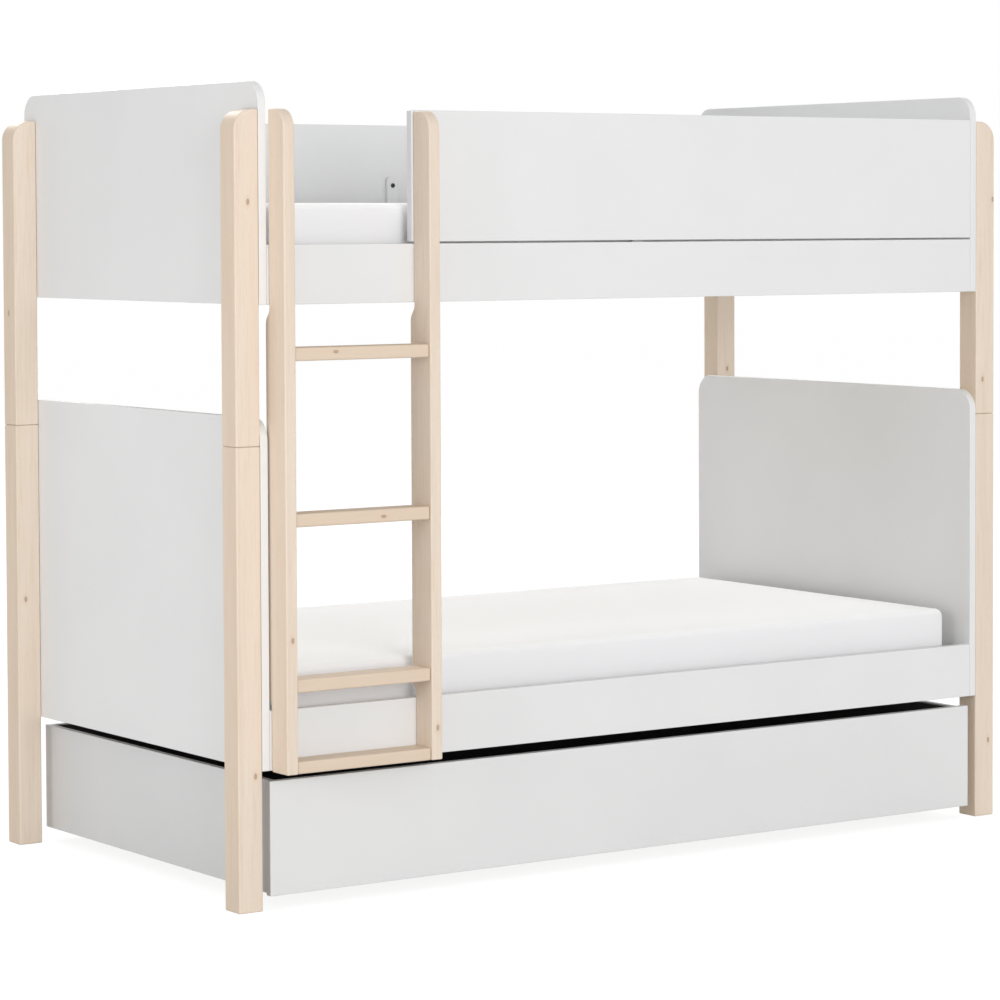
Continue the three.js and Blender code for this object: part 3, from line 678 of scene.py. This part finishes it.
# Modelling steps
def add_block(name, low, high):
    """A block between two corners, with its place in its mesh."""
    bpy.ops.object.select_all(action="DESELECT")
    bpy.ops.mesh.primitive_cube_add(size=1, location=(low + high) / 2, scale=high - low)
    piece = bpy.context.object
    piece.name = piece.data.name = name
    bpy.ops.object.transform_apply(location=True, rotation=True, scale=True)
    return piece


def add_rod(name, start, end, radius, sides=ROUND_SIDES):
    """A closed round rod between two points on one axis."""
    along = end - start
    turn = Vector((0, 0, 1)).rotation_difference(along).to_euler()
    bpy.ops.object.select_all(action="DESELECT")
    bpy.ops.mesh.primitive_cylinder_add(
        vertices=sides, radius=radius, depth=along.length, location=(start + end) / 2, rotation=turn)
    piece = bpy.context.object
    piece.name = piece.data.name = name
    bpy.ops.object.transform_apply(location=True, rotation=True, scale=True)
    return piece


def make_active(piece):
    bpy.ops.object.select_all(action="DESELECT")
    piece.select_set(True)
    bpy.context.view_layer.objects.active = piece


def choose(piece, kind, wanted):
    """In edit mode, selects only the vertices, edges or faces that pass the test."""
    bpy.ops.mesh.select_mode(type=kind)
    bpy.ops.mesh.select_all(action="DESELECT")
    mesh = bmesh.from_edit_mesh(piece.data)
    for item in {"VERT": mesh.verts, "EDGE": mesh.edges, "FACE": mesh.faces}[kind]:
        item.select_set(wanted(item))
    bmesh.update_edit_mesh(piece.data)


def round_edges(piece, ends_at, radius, steps):
    """Rounds every edge whose two ends pass the test."""
    make_active(piece)
    bpy.ops.object.mode_set(mode="EDIT")
    choose(piece, "EDGE", lambda edge: all(ends_at(vert.co) for vert in edge.verts))
    bpy.ops.mesh.bevel(offset=radius, segments=steps, affect="EDGES")
    bpy.ops.object.mode_set(mode="OBJECT")


def round_upright_edges(piece, low, high, radius, steps):
    """Rounds the four upright edges of a block."""
    for corner_x in (low.x, high.x):
        for corner_y in (low.y, high.y):
            round_edges(piece, lambda end, x=corner_x, y=corner_y: is_at(end.x, x) and is_at(end.y, y),
                        radius, steps)


def round_top_corners(piece, axis, low, high, radius, steps):
    """Rounds the two upper corners of a board that stands along one axis."""
    for side in (low[axis], high[axis]):
        round_edges(piece, lambda end, place=side: is_at(end[axis], place) and is_at(end.z, high.z),
                    radius, steps)


def apply_modifier(piece, kind, **settings):
    make_active(piece)
    modifier = piece.modifiers.new(kind.lower(), kind)
    for key, value in settings.items():
        setattr(modifier, key, value)
    bpy.ops.object.modifier_apply(modifier=modifier.name)


def ease(piece, width, steps=EASE_STEPS):
    """Takes the sharpness off every edge."""
    apply_modifier(piece, "BEVEL", width=width, segments=steps,
                   limit_method="ANGLE", angle_limit=SHARP_ANGLE)


def cut_away(piece, tool):
    """Cuts the tool's shape out of the piece and removes the tool."""
    apply_modifier(piece, "BOOLEAN", operation="DIFFERENCE", solver="EXACT", object=tool)
    bpy.data.objects.remove(tool)


def smooth(piece):
    """Smooth shading that keeps flat faces flat."""
    make_active(piece)
    bpy.ops.object.shade_smooth()
    apply_modifier(piece, "WEIGHTED_NORMAL", keep_sharp=True, weight=FACE_WEIGHT)


def stand_for(piece, node, material):
    """The piece takes a node's place on its body, in its finish. Without one it keeps its own materials."""
    if material is not None:
        piece.data.materials.clear()
        piece.data.materials.append(material)
    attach(piece, NODES[node]["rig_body"])
    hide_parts(node)


def copied(piece, name, transform):
    """A copy with its own mesh, moved by the transform."""
    copy = piece.copy()
    copy.data = piece.data.copy()
    copy.name = copy.data.name = name
    copy.data.transform(transform)
    bpy.context.scene.collection.objects.link(copy)
    return copy


def joined(name, pieces):
    """Several shells made one piece."""
    bpy.ops.object.select_all(action="DESELECT")
    for piece in pieces:
        piece.select_set(True)
    bpy.context.view_layer.objects.active = pieces[0]
    bpy.ops.object.join()
    pieces[0].name = pieces[0].data.name = name
    return pieces[0]


def is_at(value, target):
    return abs(value - target) < NEAR


def middle(low, high):
    return (low + high) / 2


# Beds
def make_post(bed, corner, material):
    """A post with its stacking bore. The outer top corner of an upper post is rounded."""
    node = f"{bed}_post_{corner}"
    low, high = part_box(node)
    piece = add_block(node + "_beech", low, high)
    if bed == "upper":
        outer = low.x if corner.endswith("left") else high.x
        round_edges(piece, lambda end: is_at(end.x, outer) and is_at(end.z, high.z),
                    POST_TOP_RADIUS, POST_TOP_STEPS)
    ease(piece, POST_EASE, FINE_EASE_STEPS)
    pin_low, pin_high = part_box("stacking_pin_" + corner)
    centre = middle(pin_low, pin_high)
    below = Vector((centre.x, centre.y, pin_low.z - PIN_CLEARANCE))
    above = Vector((centre.x, centre.y, pin_high.z + PIN_CLEARANCE))
    radius = (pin_high.x - pin_low.x) / 2 + PIN_CLEARANCE
    cut_away(piece, add_rod("bore", below, above, radius))
    smooth(piece)
    stand_for(piece, node, material)


def make_pin(node, material):
    """A stacking pin with both points chamfered."""
    low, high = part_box(node)
    centre = middle(low, high)
    radius = (high.x - low.x) / 2
    foot = Vector((centre.x, centre.y, low.z))
    piece = add_rod(node + "_zinc", foot, Vector((centre.x, centre.y, high.z)), radius)
    ease(piece, PIN_POINT, SMALL_EASE_STEPS)
    smooth(piece)
    stand_for(piece, node, material)


def make_panel(node, material):
    """An end panel with its two upper corners rounded."""
    low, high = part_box(node)
    piece = add_block(node + "_board", low, high)
    round_top_corners(piece, 1, low, high, PANEL_CORNER_RADIUS, PANEL_CORNER_STEPS)
    ease(piece, BOARD_EASE)
    smooth(piece)
    stand_for(piece, node, material)


def make_board(node, material, width=BOARD_EASE):
    """A plain straight board with eased edges."""
    low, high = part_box(node)
    piece = add_block(node + "_board", low, high)
    ease(piece, width)
    smooth(piece)
    stand_for(piece, node, material)


def make_tape(low, high, edge_y):
    """A tape along the slats, let a little into their undersides, in the roll's second material."""
    top = high.z - SLAT_THICKNESS + TAPE_SINK
    strap = add_block("tape", Vector((low.x + TAPE_END_INSET, edge_y - TAPE_WIDTH / 2, low.z)),
                      Vector((high.x - TAPE_END_INSET, edge_y + TAPE_WIDTH / 2, top)))
    ease(strap, TAPE_SINK)
    for face in strap.data.polygons:
        face.material_index = 1
    return strap


def make_slats(bed, pine, tape):
    """A roll of slats: one slat, copied along the bed, and its two tapes."""
    node = bed + "_slat_roll"
    low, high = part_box(node)
    first = add_block("slat", Vector((low.x, low.y, high.z - SLAT_THICKNESS)),
                      Vector((low.x + SLAT_WIDTH, high.y, high.z)))
    ease(first, SLAT_EASE)
    smooth(first)
    pitch = (high.x - low.x - SLAT_WIDTH) / (SLAT_COUNT - 1)
    parts = [first]
    for item in range(1, SLAT_COUNT):
        parts.append(copied(first, "slat", Matrix.Translation((item * pitch, 0, 0))))
    for edge_y in (low.y + TAPE_INSET, high.y - TAPE_INSET):
        parts.append(make_tape(low, high, edge_y))
    for part in parts:
        part.data.materials.append(pine)
        part.data.materials.append(tape)
    stand_for(joined(node + "_pine", parts), node, None)


# Ladder
def notch_levels(lower_start, upper_end):
    """The heights and depths of both notches' ends: a cubic curve that starts and ends upright."""
    curve = []
    for step in range(NOTCH_STEPS + 1):
        share = step / NOTCH_STEPS
        rise = NOTCH_CURVE * (1.5 * share * (1 - share) + share ** 3)
        curve.append((rise, NOTCH * (1 - share * share * (3 - 2 * share))))
    lower_end = [(lower_start + rise, depth) for rise, depth in curve]
    return lower_end + [(upper_end - rise, depth) for rise, depth in curve]


def make_stile(node, material):
    """A stile: deep between the two rails, notched by a soft S where it lies against them."""
    low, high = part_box(node)
    _, lower_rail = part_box("lower_side_rail_front")
    upper_rail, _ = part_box("upper_side_rail_front")
    piece = add_block(node + "_beech", low, high)
    make_active(piece)
    bpy.ops.object.mode_set(mode="EDIT")
    levels = notch_levels(lower_rail.z + NOTCH_GAP, upper_rail.z - NOTCH_GAP)
    for level, _ in levels:
        bpy.ops.mesh.select_all(action="SELECT")
        bpy.ops.mesh.bisect(plane_co=(0, 0, level), plane_no=(0, 0, 1))
    for level, depth in levels + [(low.z, NOTCH), (high.z, NOTCH)]:
        choose(piece, "VERT", lambda vert, z=level: is_at(vert.co.z, z) and is_at(vert.co.y, high.y))
        bpy.ops.transform.translate(value=(0, -depth, 0))
    bpy.ops.object.mode_set(mode="OBJECT")
    round_edges(piece, lambda end: is_at(end.y, low.y) and is_at(end.z, high.z),
                STILE_TOP_RADIUS, STILE_TOP_STEPS)
    ease(piece, STILE_EASE, FINE_EASE_STEPS)
    smooth(piece)
    stand_for(piece, node, material)


# Cleats and bolts
def make_cleat(label, material):
    """A guard cleat with rounded upper corners and its two bolt holes."""
    node = "guard_cleat_" + label
    low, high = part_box(node)
    piece = add_block(node + "_board", low, high)
    round_top_corners(piece, 0, low, high, CLEAT_CORNER_RADIUS, ROUND_CORNER_STEPS)
    ease(piece, BOARD_EASE)
    for place in ("guard", "rail"):
        centre = middle(*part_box(f"cleat_bolt_{label}_{place}"))
        front = Vector((centre.x, low.y - BORE_OVERRUN, centre.z))
        rear = Vector((centre.x, high.y + BORE_OVERRUN, centre.z))
        cut_away(piece, add_rod("bore", front, rear, BOLT_SHANK_RADIUS + BOLT_CLEARANCE))
    smooth(piece)
    stand_for(piece, node, material)


def make_bolt(name, length, radius):
    """A bolt along Y with a low round head at the origin, its shank towards +Y and a hex socket."""
    piece = add_rod(name, Vector((0, 0, 0)), Vector((0, BOLT_HEAD_HEIGHT, 0)), radius)
    make_active(piece)
    bpy.ops.object.mode_set(mode="EDIT")
    choose(piece, "FACE", lambda face: is_at(face.calc_center_median().y, BOLT_HEAD_HEIGHT))
    bpy.ops.mesh.inset(thickness=radius - BOLT_SHANK_RADIUS)
    bpy.ops.mesh.extrude_region_move(TRANSFORM_OT_translate={"value": (0, length - BOLT_HEAD_HEIGHT, 0)})
    bpy.ops.object.mode_set(mode="OBJECT")
    round_edges(piece, lambda end: is_at(end.y, 0), BOLT_HEAD_EASE, EASE_STEPS)
    socket_end = Vector((0, SOCKET_DEPTH, 0))
    cut_away(piece, add_rod("socket", Vector((0, -BORE_OVERRUN, 0)), socket_end, SOCKET_RADIUS, HEX))
    ease(piece, BOLT_EASE, SMALL_EASE_STEPS)
    smooth(piece)
    return piece


def place_bolts(nodes, material):
    """One bolt is modelled and copied to each node's place, its head towards the mattress."""
    low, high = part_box(nodes[0])
    model = make_bolt("bolt", high.y - low.y, (high.x - low.x) / 2)
    for node in nodes:
        low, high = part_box(node)
        centre = middle(low, high)
        half_length = (high.y - low.y) / 2
        towards_front = centre.y < 0
        turn = Matrix.Rotation(math.pi if towards_front else 0, 4, "Z")
        head_y = centre.y + (half_length if towards_front else -half_length)
        piece = copied(model, node + "_steel", Matrix.Translation((centre.x, head_y, centre.z)) @ turn)
        stand_for(piece, node, material)
    bpy.data.objects.remove(model)


# Drawer
def make_drawer_boards(front_material, box_material):
    """The four boards of the drawer box, each grooved for the bottom."""
    bottom_low, bottom_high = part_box("drawer_bottom")
    room = Vector((GROOVE_CLEARANCE, GROOVE_CLEARANCE, GROOVE_CLEARANCE))
    for part in ("front", "side_left", "side_right", "back"):
        node = "drawer_" + part
        low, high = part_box(node)
        piece = add_block(node + "_board", low, high)
        ease(piece, BOARD_EASE)
        cut_away(piece, add_block("groove", bottom_low - room, bottom_high + room))
        smooth(piece)
        stand_for(piece, node, front_material if part == "front" else box_material)


def make_liner(material):
    """The felt lining: a thin open tray with rounded corners."""
    low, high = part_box("drawer_liner")
    piece = add_block("drawer_liner_felt", low, high)
    round_upright_edges(piece, low, high, LINER_CORNER_RADIUS, LINER_CORNER_STEPS)
    make_active(piece)
    bpy.ops.object.mode_set(mode="EDIT")
    choose(piece, "FACE", lambda face: is_at(face.calc_center_median().z, high.z))
    bpy.ops.mesh.inset(thickness=LINER_THICKNESS)
    bpy.ops.mesh.extrude_region_move(
        TRANSFORM_OT_translate={"value": (0, 0, low.z + LINER_THICKNESS - high.z)})
    bpy.ops.object.mode_set(mode="OBJECT")
    ease(piece, LINER_EASE)
    smooth(piece)
    stand_for(piece, "drawer_liner", material)


# Castors
def make_plate(low, high):
    """The fork's top plate, with rounded corners."""
    plate = add_block("plate", Vector((low.x, low.y, high.z - PLATE_THICKNESS)), high)
    round_upright_edges(plate, low, high, PLATE_RADIUS, ROUND_CORNER_STEPS)
    ease(plate, FORK_EASE, SMALL_EASE_STEPS)
    return plate


def make_cheek(low, high, axle_z):
    """A fork cheek: wide at the plate, tapered down to a round end about the axle."""
    piece = add_block("cheek", low, high)
    centre_y = middle(low, high).y
    make_active(piece)
    bpy.ops.object.mode_set(mode="EDIT")
    bpy.ops.mesh.select_all(action="SELECT")
    bpy.ops.mesh.bisect(plane_co=(0, 0, axle_z), plane_no=(0, 0, 1))
    choose(piece, "VERT", lambda vert: vert.co.z < axle_z + NEAR)
    taper_share = FORK_RADIUS * 2 / FORK_TOP_WIDTH
    bpy.ops.transform.resize(value=(1, taper_share, 1), center_override=(0, centre_y, 0))
    bpy.ops.object.mode_set(mode="OBJECT")
    for edge_y in (centre_y - FORK_RADIUS, centre_y + FORK_RADIUS):
        round_edges(piece, lambda end, y=edge_y: is_at(end.y, y) and is_at(end.z, low.z),
                    FORK_RADIUS - NEAR, ROUND_CORNER_STEPS)
    ease(piece, FORK_EASE, SMALL_EASE_STEPS)
    return piece


def make_fork_side(side, wheel_face, centre, axle_z, top):
    """One side of the fork: the cheek beside the wheel and the axle's riveted head on it."""
    inner = wheel_face + side * FORK_GAP
    outer = inner + side * FORK_THICKNESS
    low = Vector((min(inner, outer), centre.y - FORK_TOP_WIDTH / 2, axle_z - FORK_RADIUS))
    high = Vector((max(inner, outer), centre.y + FORK_TOP_WIDTH / 2, top))
    cheek = make_cheek(low, high, axle_z)
    root = Vector((outer - side * AXLE_HEAD_SINK, centre.y, axle_z))
    tip = Vector((outer + side * AXLE_HEAD_LENGTH, centre.y, axle_z))
    head = add_rod("head", root, tip, AXLE_HEAD_RADIUS)
    round_edges(head, lambda end: is_at(end.x, tip.x), AXLE_HEAD_EASE, EASE_STEPS)
    return [cheek, head]


def make_screw(centre):
    """A low screw head pointing down, with a cross recess."""
    bottom = centre - Vector((0, 0, SCREW_HEAD_HEIGHT))
    piece = add_rod("screw", bottom, centre, SCREW_HEAD_RADIUS, SCREW_SIDES)
    round_edges(piece, lambda end: is_at(end.z, bottom.z), SCREW_EASE, EASE_STEPS)
    for along, across in ((RECESS_LENGTH, RECESS_WIDTH), (RECESS_WIDTH, RECESS_LENGTH)):
        half = Vector((along / 2, across / 2, RECESS_DEPTH))
        cut_away(piece, add_block("recess", bottom - half, bottom + half))
    return piece


def make_fork(name, node, wheel_node):
    """A castor fork: screwed plate, two cheeks and a riveted axle."""
    low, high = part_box(node)
    wheel_low, wheel_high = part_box(wheel_node)
    centre = middle(low, high)
    axle_z = middle(wheel_low, wheel_high).z
    parts = [make_plate(low, high)]
    for side, wheel_face in ((-1, wheel_low.x), (1, wheel_high.x)):
        parts += make_fork_side(side, wheel_face, centre, axle_z, high.z - PLATE_THICKNESS / 2)
    axle_start = Vector((wheel_low.x - FORK_THICKNESS, centre.y, axle_z))
    axle_end = Vector((wheel_high.x + FORK_THICKNESS, centre.y, axle_z))
    parts.append(add_rod("axle", axle_start, axle_end, AXLE_RADIUS))
    for corner_x in (low.x + SCREW_EDGE_DISTANCE, high.x - SCREW_EDGE_DISTANCE):
        for corner_y in (low.y + SCREW_EDGE_DISTANCE, high.y - SCREW_EDGE_DISTANCE):
            parts.append(make_screw(Vector((corner_x, corner_y, high.z - PLATE_THICKNESS))))
    piece = joined(name, parts)
    smooth(piece)
    return piece


def from_axle(point, axle):
    """How far a point lies from an axle along X."""
    return math.hypot(point.y - axle.y, point.z - axle.z)


def recess_web(piece, side, face_x, radius):
    """Sinks a wheel's face between the rim and the hub, which comes back out flush."""
    make_active(piece)
    bpy.ops.object.mode_set(mode="EDIT")
    choose(piece, "FACE", lambda face: is_at(face.calc_center_median().x, face_x))
    bpy.ops.mesh.inset(thickness=WHEEL_RIM)
    bpy.ops.mesh.extrude_region_move(TRANSFORM_OT_translate={"value": (side * WHEEL_WEB_INSET, 0, 0)})
    bpy.ops.mesh.inset(thickness=radius - WHEEL_RIM - WHEEL_HUB_RADIUS)
    bpy.ops.mesh.extrude_region_move(TRANSFORM_OT_translate={"value": (-side * WHEEL_WEB_INSET, 0, 0)})
    bpy.ops.object.mode_set(mode="OBJECT")


def make_wheel(name, node, tread, core):
    """A castor wheel: a soft tread with rounded shoulders on a core with a thin web and a hub."""
    low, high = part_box(node)
    centre = middle(low, high)
    radius = (high.z - low.z) / 2
    start = Vector((low.x, centre.y, centre.z))
    end = Vector((high.x, centre.y, centre.z))
    piece = add_rod(name, start, end, radius, WHEEL_SIDES)
    piece.data.materials.append(tread)
    piece.data.materials.append(core)
    for side, face_x in ((1, low.x), (-1, high.x)):
        recess_web(piece, side, face_x, radius)
    for face in piece.data.polygons:
        face.material_index = 1 if from_axle(face.center, centre) < radius - WHEEL_RIM + NEAR else 0
    for face_x in (low.x, high.x):
        round_edges(piece, lambda end, x=face_x: is_at(end.x, x) and from_axle(end, centre) > radius - NEAR,
                    WHEEL_EDGE, WHEEL_EDGE_STEPS)
    ease(piece, WHEEL_SMALL_EASE, SMALL_EASE_STEPS)
    past = Vector((BORE_OVERRUN, 0, 0))
    cut_away(piece, add_rod("bore", start - past, end + past, AXLE_BORE_RADIUS))
    smooth(piece)
    return piece


def make_castors(zinc, tread, core):
    """One castor is modelled and copied to the four corners."""
    first_fork = "castor_fork_" + CORNERS[0]
    first_wheel = "castor_wheel_" + CORNERS[0]
    fork = make_fork("fork", first_fork, first_wheel)
    wheel = make_wheel("wheel", first_wheel, tread, core)
    start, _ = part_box(first_fork)
    for corner in CORNERS:
        there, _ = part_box("castor_fork_" + corner)
        move = Matrix.Translation(there - start)
        stand_for(copied(fork, f"castor_fork_{corner}_zinc", move), "castor_fork_" + corner, zinc)
        stand_for(copied(wheel, f"castor_wheel_{corner}_rubber", move), "castor_wheel_" + corner,
                  None)
    bpy.data.objects.remove(fork)
    bpy.data.objects.remove(wheel)


# Mattresses
def fill(piece):
    """The cover swells under its filling, by no more than the swell on any point."""
    scene = bpy.context.scene
    make_active(piece)
    before = [vert.co.copy() for vert in piece.data.vertices]
    cloth = piece.modifiers.new("filling", "CLOTH")
    cloth.settings.use_pressure = True
    cloth.settings.uniform_pressure_force = MATTRESS_PRESSURE
    cloth.settings.effector_weights.gravity = 0
    cloth.collision_settings.use_collision = False
    cloth.point_cache.frame_end = MATTRESS_FRAMES
    for moment in range(1, MATTRESS_FRAMES + 1):
        scene.frame_set(moment)
    bpy.ops.object.modifier_apply(modifier=cloth.name)
    scene.frame_set(1)
    for vert, start in zip(piece.data.vertices, before):
        moved = vert.co - start
        if moved.length > MATTRESS_SWELL:
            vert.co = start + moved * (MATTRESS_SWELL / moved.length)


def divide(piece, low, high, cell):
    """Cuts a block into cells of about one size along every axis."""
    make_active(piece)
    bpy.ops.object.mode_set(mode="EDIT")
    for axis in range(3):
        count = round((high[axis] - low[axis]) / cell)
        normal = [float(item == axis) for item in range(3)]
        for cut in range(1, count):
            level = low[axis] + (high[axis] - low[axis]) * cut / count
            bpy.ops.mesh.select_all(action="SELECT")
            bpy.ops.mesh.bisect(plane_co=[level * part for part in normal], plane_no=normal)
    bpy.ops.object.mode_set(mode="OBJECT")


def make_mattress_model(low, high):
    """A foam mattress in its cover: rounded corners and edges, full sides, flat where it rests."""
    swell = Vector((MATTRESS_SWELL, MATTRESS_SWELL, MATTRESS_SWELL))
    inner_low, inner_high = low + swell, high - swell
    piece = add_block("mattress", inner_low, inner_high)
    round_upright_edges(piece, inner_low, inner_high, MATTRESS_CORNER_RADIUS, MATTRESS_EDGE_STEPS)
    for level in (inner_low.z, inner_high.z):
        round_edges(piece, lambda end, z=level: is_at(end.z, z), MATTRESS_EDGE_RADIUS, MATTRESS_EDGE_STEPS)
    divide(piece, inner_low, inner_high, MATTRESS_CELL)
    fill(piece)
    # The underside is pressed flat, and comes down with the lower edge towards the slats
    for vert in piece.data.vertices:
        vert.co.z = max(vert.co.z, inner_low.z)
        vert.co.z -= swell.z * max(0.0, 1 - (vert.co.z - low.z) / MATTRESS_EDGE_RADIUS)
    apply_modifier(piece, "SUBSURF", levels=1, render_levels=1)
    make_active(piece)
    bpy.ops.object.shade_smooth()
    return piece


def make_mattresses(material):
    """One mattress is modelled and copied to both beds."""
    low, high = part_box("lower_mattress")
    model = make_mattress_model(low, high)
    for bed in BEDS:
        node = bed + "_mattress"
        there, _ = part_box(node)
        piece = copied(model, node + "_cover", Matrix.Translation(there - low))
        stand_for(piece, node, material)
    bpy.data.objects.remove(model)


# The whole bed
def make_beds(beech, lacquer, pine_along, pine_across, tape):
    for bed in BEDS:
        for corner in CORNERS:
            make_post(bed, corner, beech)
        for side in ("left", "right"):
            make_panel(f"{bed}_end_panel_{side}", lacquer)
        for face in ("front", "rear"):
            make_board(f"{bed}_side_rail_{face}", lacquer)
            make_board(f"{bed}_slat_ledge_{face}", pine_along, SLAT_EASE)
        make_slats(bed, pine_across, tape)


def make_ladder(beech_stile, beech_along):
    for side in ("left", "right"):
        make_stile("ladder_stile_" + side, beech_stile)
    for node in ("ladder_rung_1", "ladder_rung_2", "ladder_rung_3", "ladder_stretcher"):
        make_board(node, beech_along, RUNG_EASE)


def make_bunk_bed():
    lacquer = lacquer_material("white lacquer", LACQUER_WHITE, LACQUER_SHADE)
    zinc = zinc_material()
    steel = black_steel_material()
    make_beds(beech_material("beech upright", "Z"), lacquer,
              pine_material("pine ledge", "X"), pine_material("pine slat", "Y"), webbing_material())
    for corner in CORNERS:
        make_pin("stacking_pin_" + corner, zinc)
    # The stiles take less of the painted side shade than the posts
    make_ladder(beech_material("beech of the stiles", "Z", side_shade=BEECH_STILE_SIDE_SHADE_SHARE),
                beech_material("beech lengthwise", "X", tan=BEECH_RUNG_TAN))
    for label in ("front", "rear"):
        make_board("guard_" + label, lacquer)
        make_cleat(label, lacquer)
    place_bolts([f"cleat_bolt_{place}" for place in CLEAT_BOLTS], steel)
    place_bolts([f"ladder_bolt_{place}" for place in LADDER_BOLTS], steel)
    # The drawer's two lacquers are darker copies of the white, as painted shade
    make_drawer_boards(lacquer_material("drawer front lacquer, painted shade", DRAWER_FRONT_SHADED_WHITE, DRAWER_FRONT_SHADED_MOTTLE),
                       lacquer_material("drawer box lacquer, painted shade", DRAWER_BOX_SHADED_WHITE, DRAWER_BOX_SHADED_MOTTLE))
    make_board("drawer_bottom", plywood_material(), PLYWOOD_EASE)
    make_castors(zinc, rubber_material(), core_material())
    make_liner(felt_material())
    make_mattresses(cover_material())


make_camera()
make_world()
make_floor()
make_soft_light("key", KEY_PLACE, KEY_SIZE, KEY_WATTS)
make_soft_light("left", LEFT_PLACE, LEFT_SIZE, LEFT_WATTS)
make_soft_light("right", RIGHT_PLACE, RIGHT_SIZE, RIGHT_WATTS)
make_soft_light("back", BACK_PLACE, BACK_SIZE, BACK_WATTS)
make_bunk_bed()
bpy.context.scene.view_settings.view_transform = "Standard"
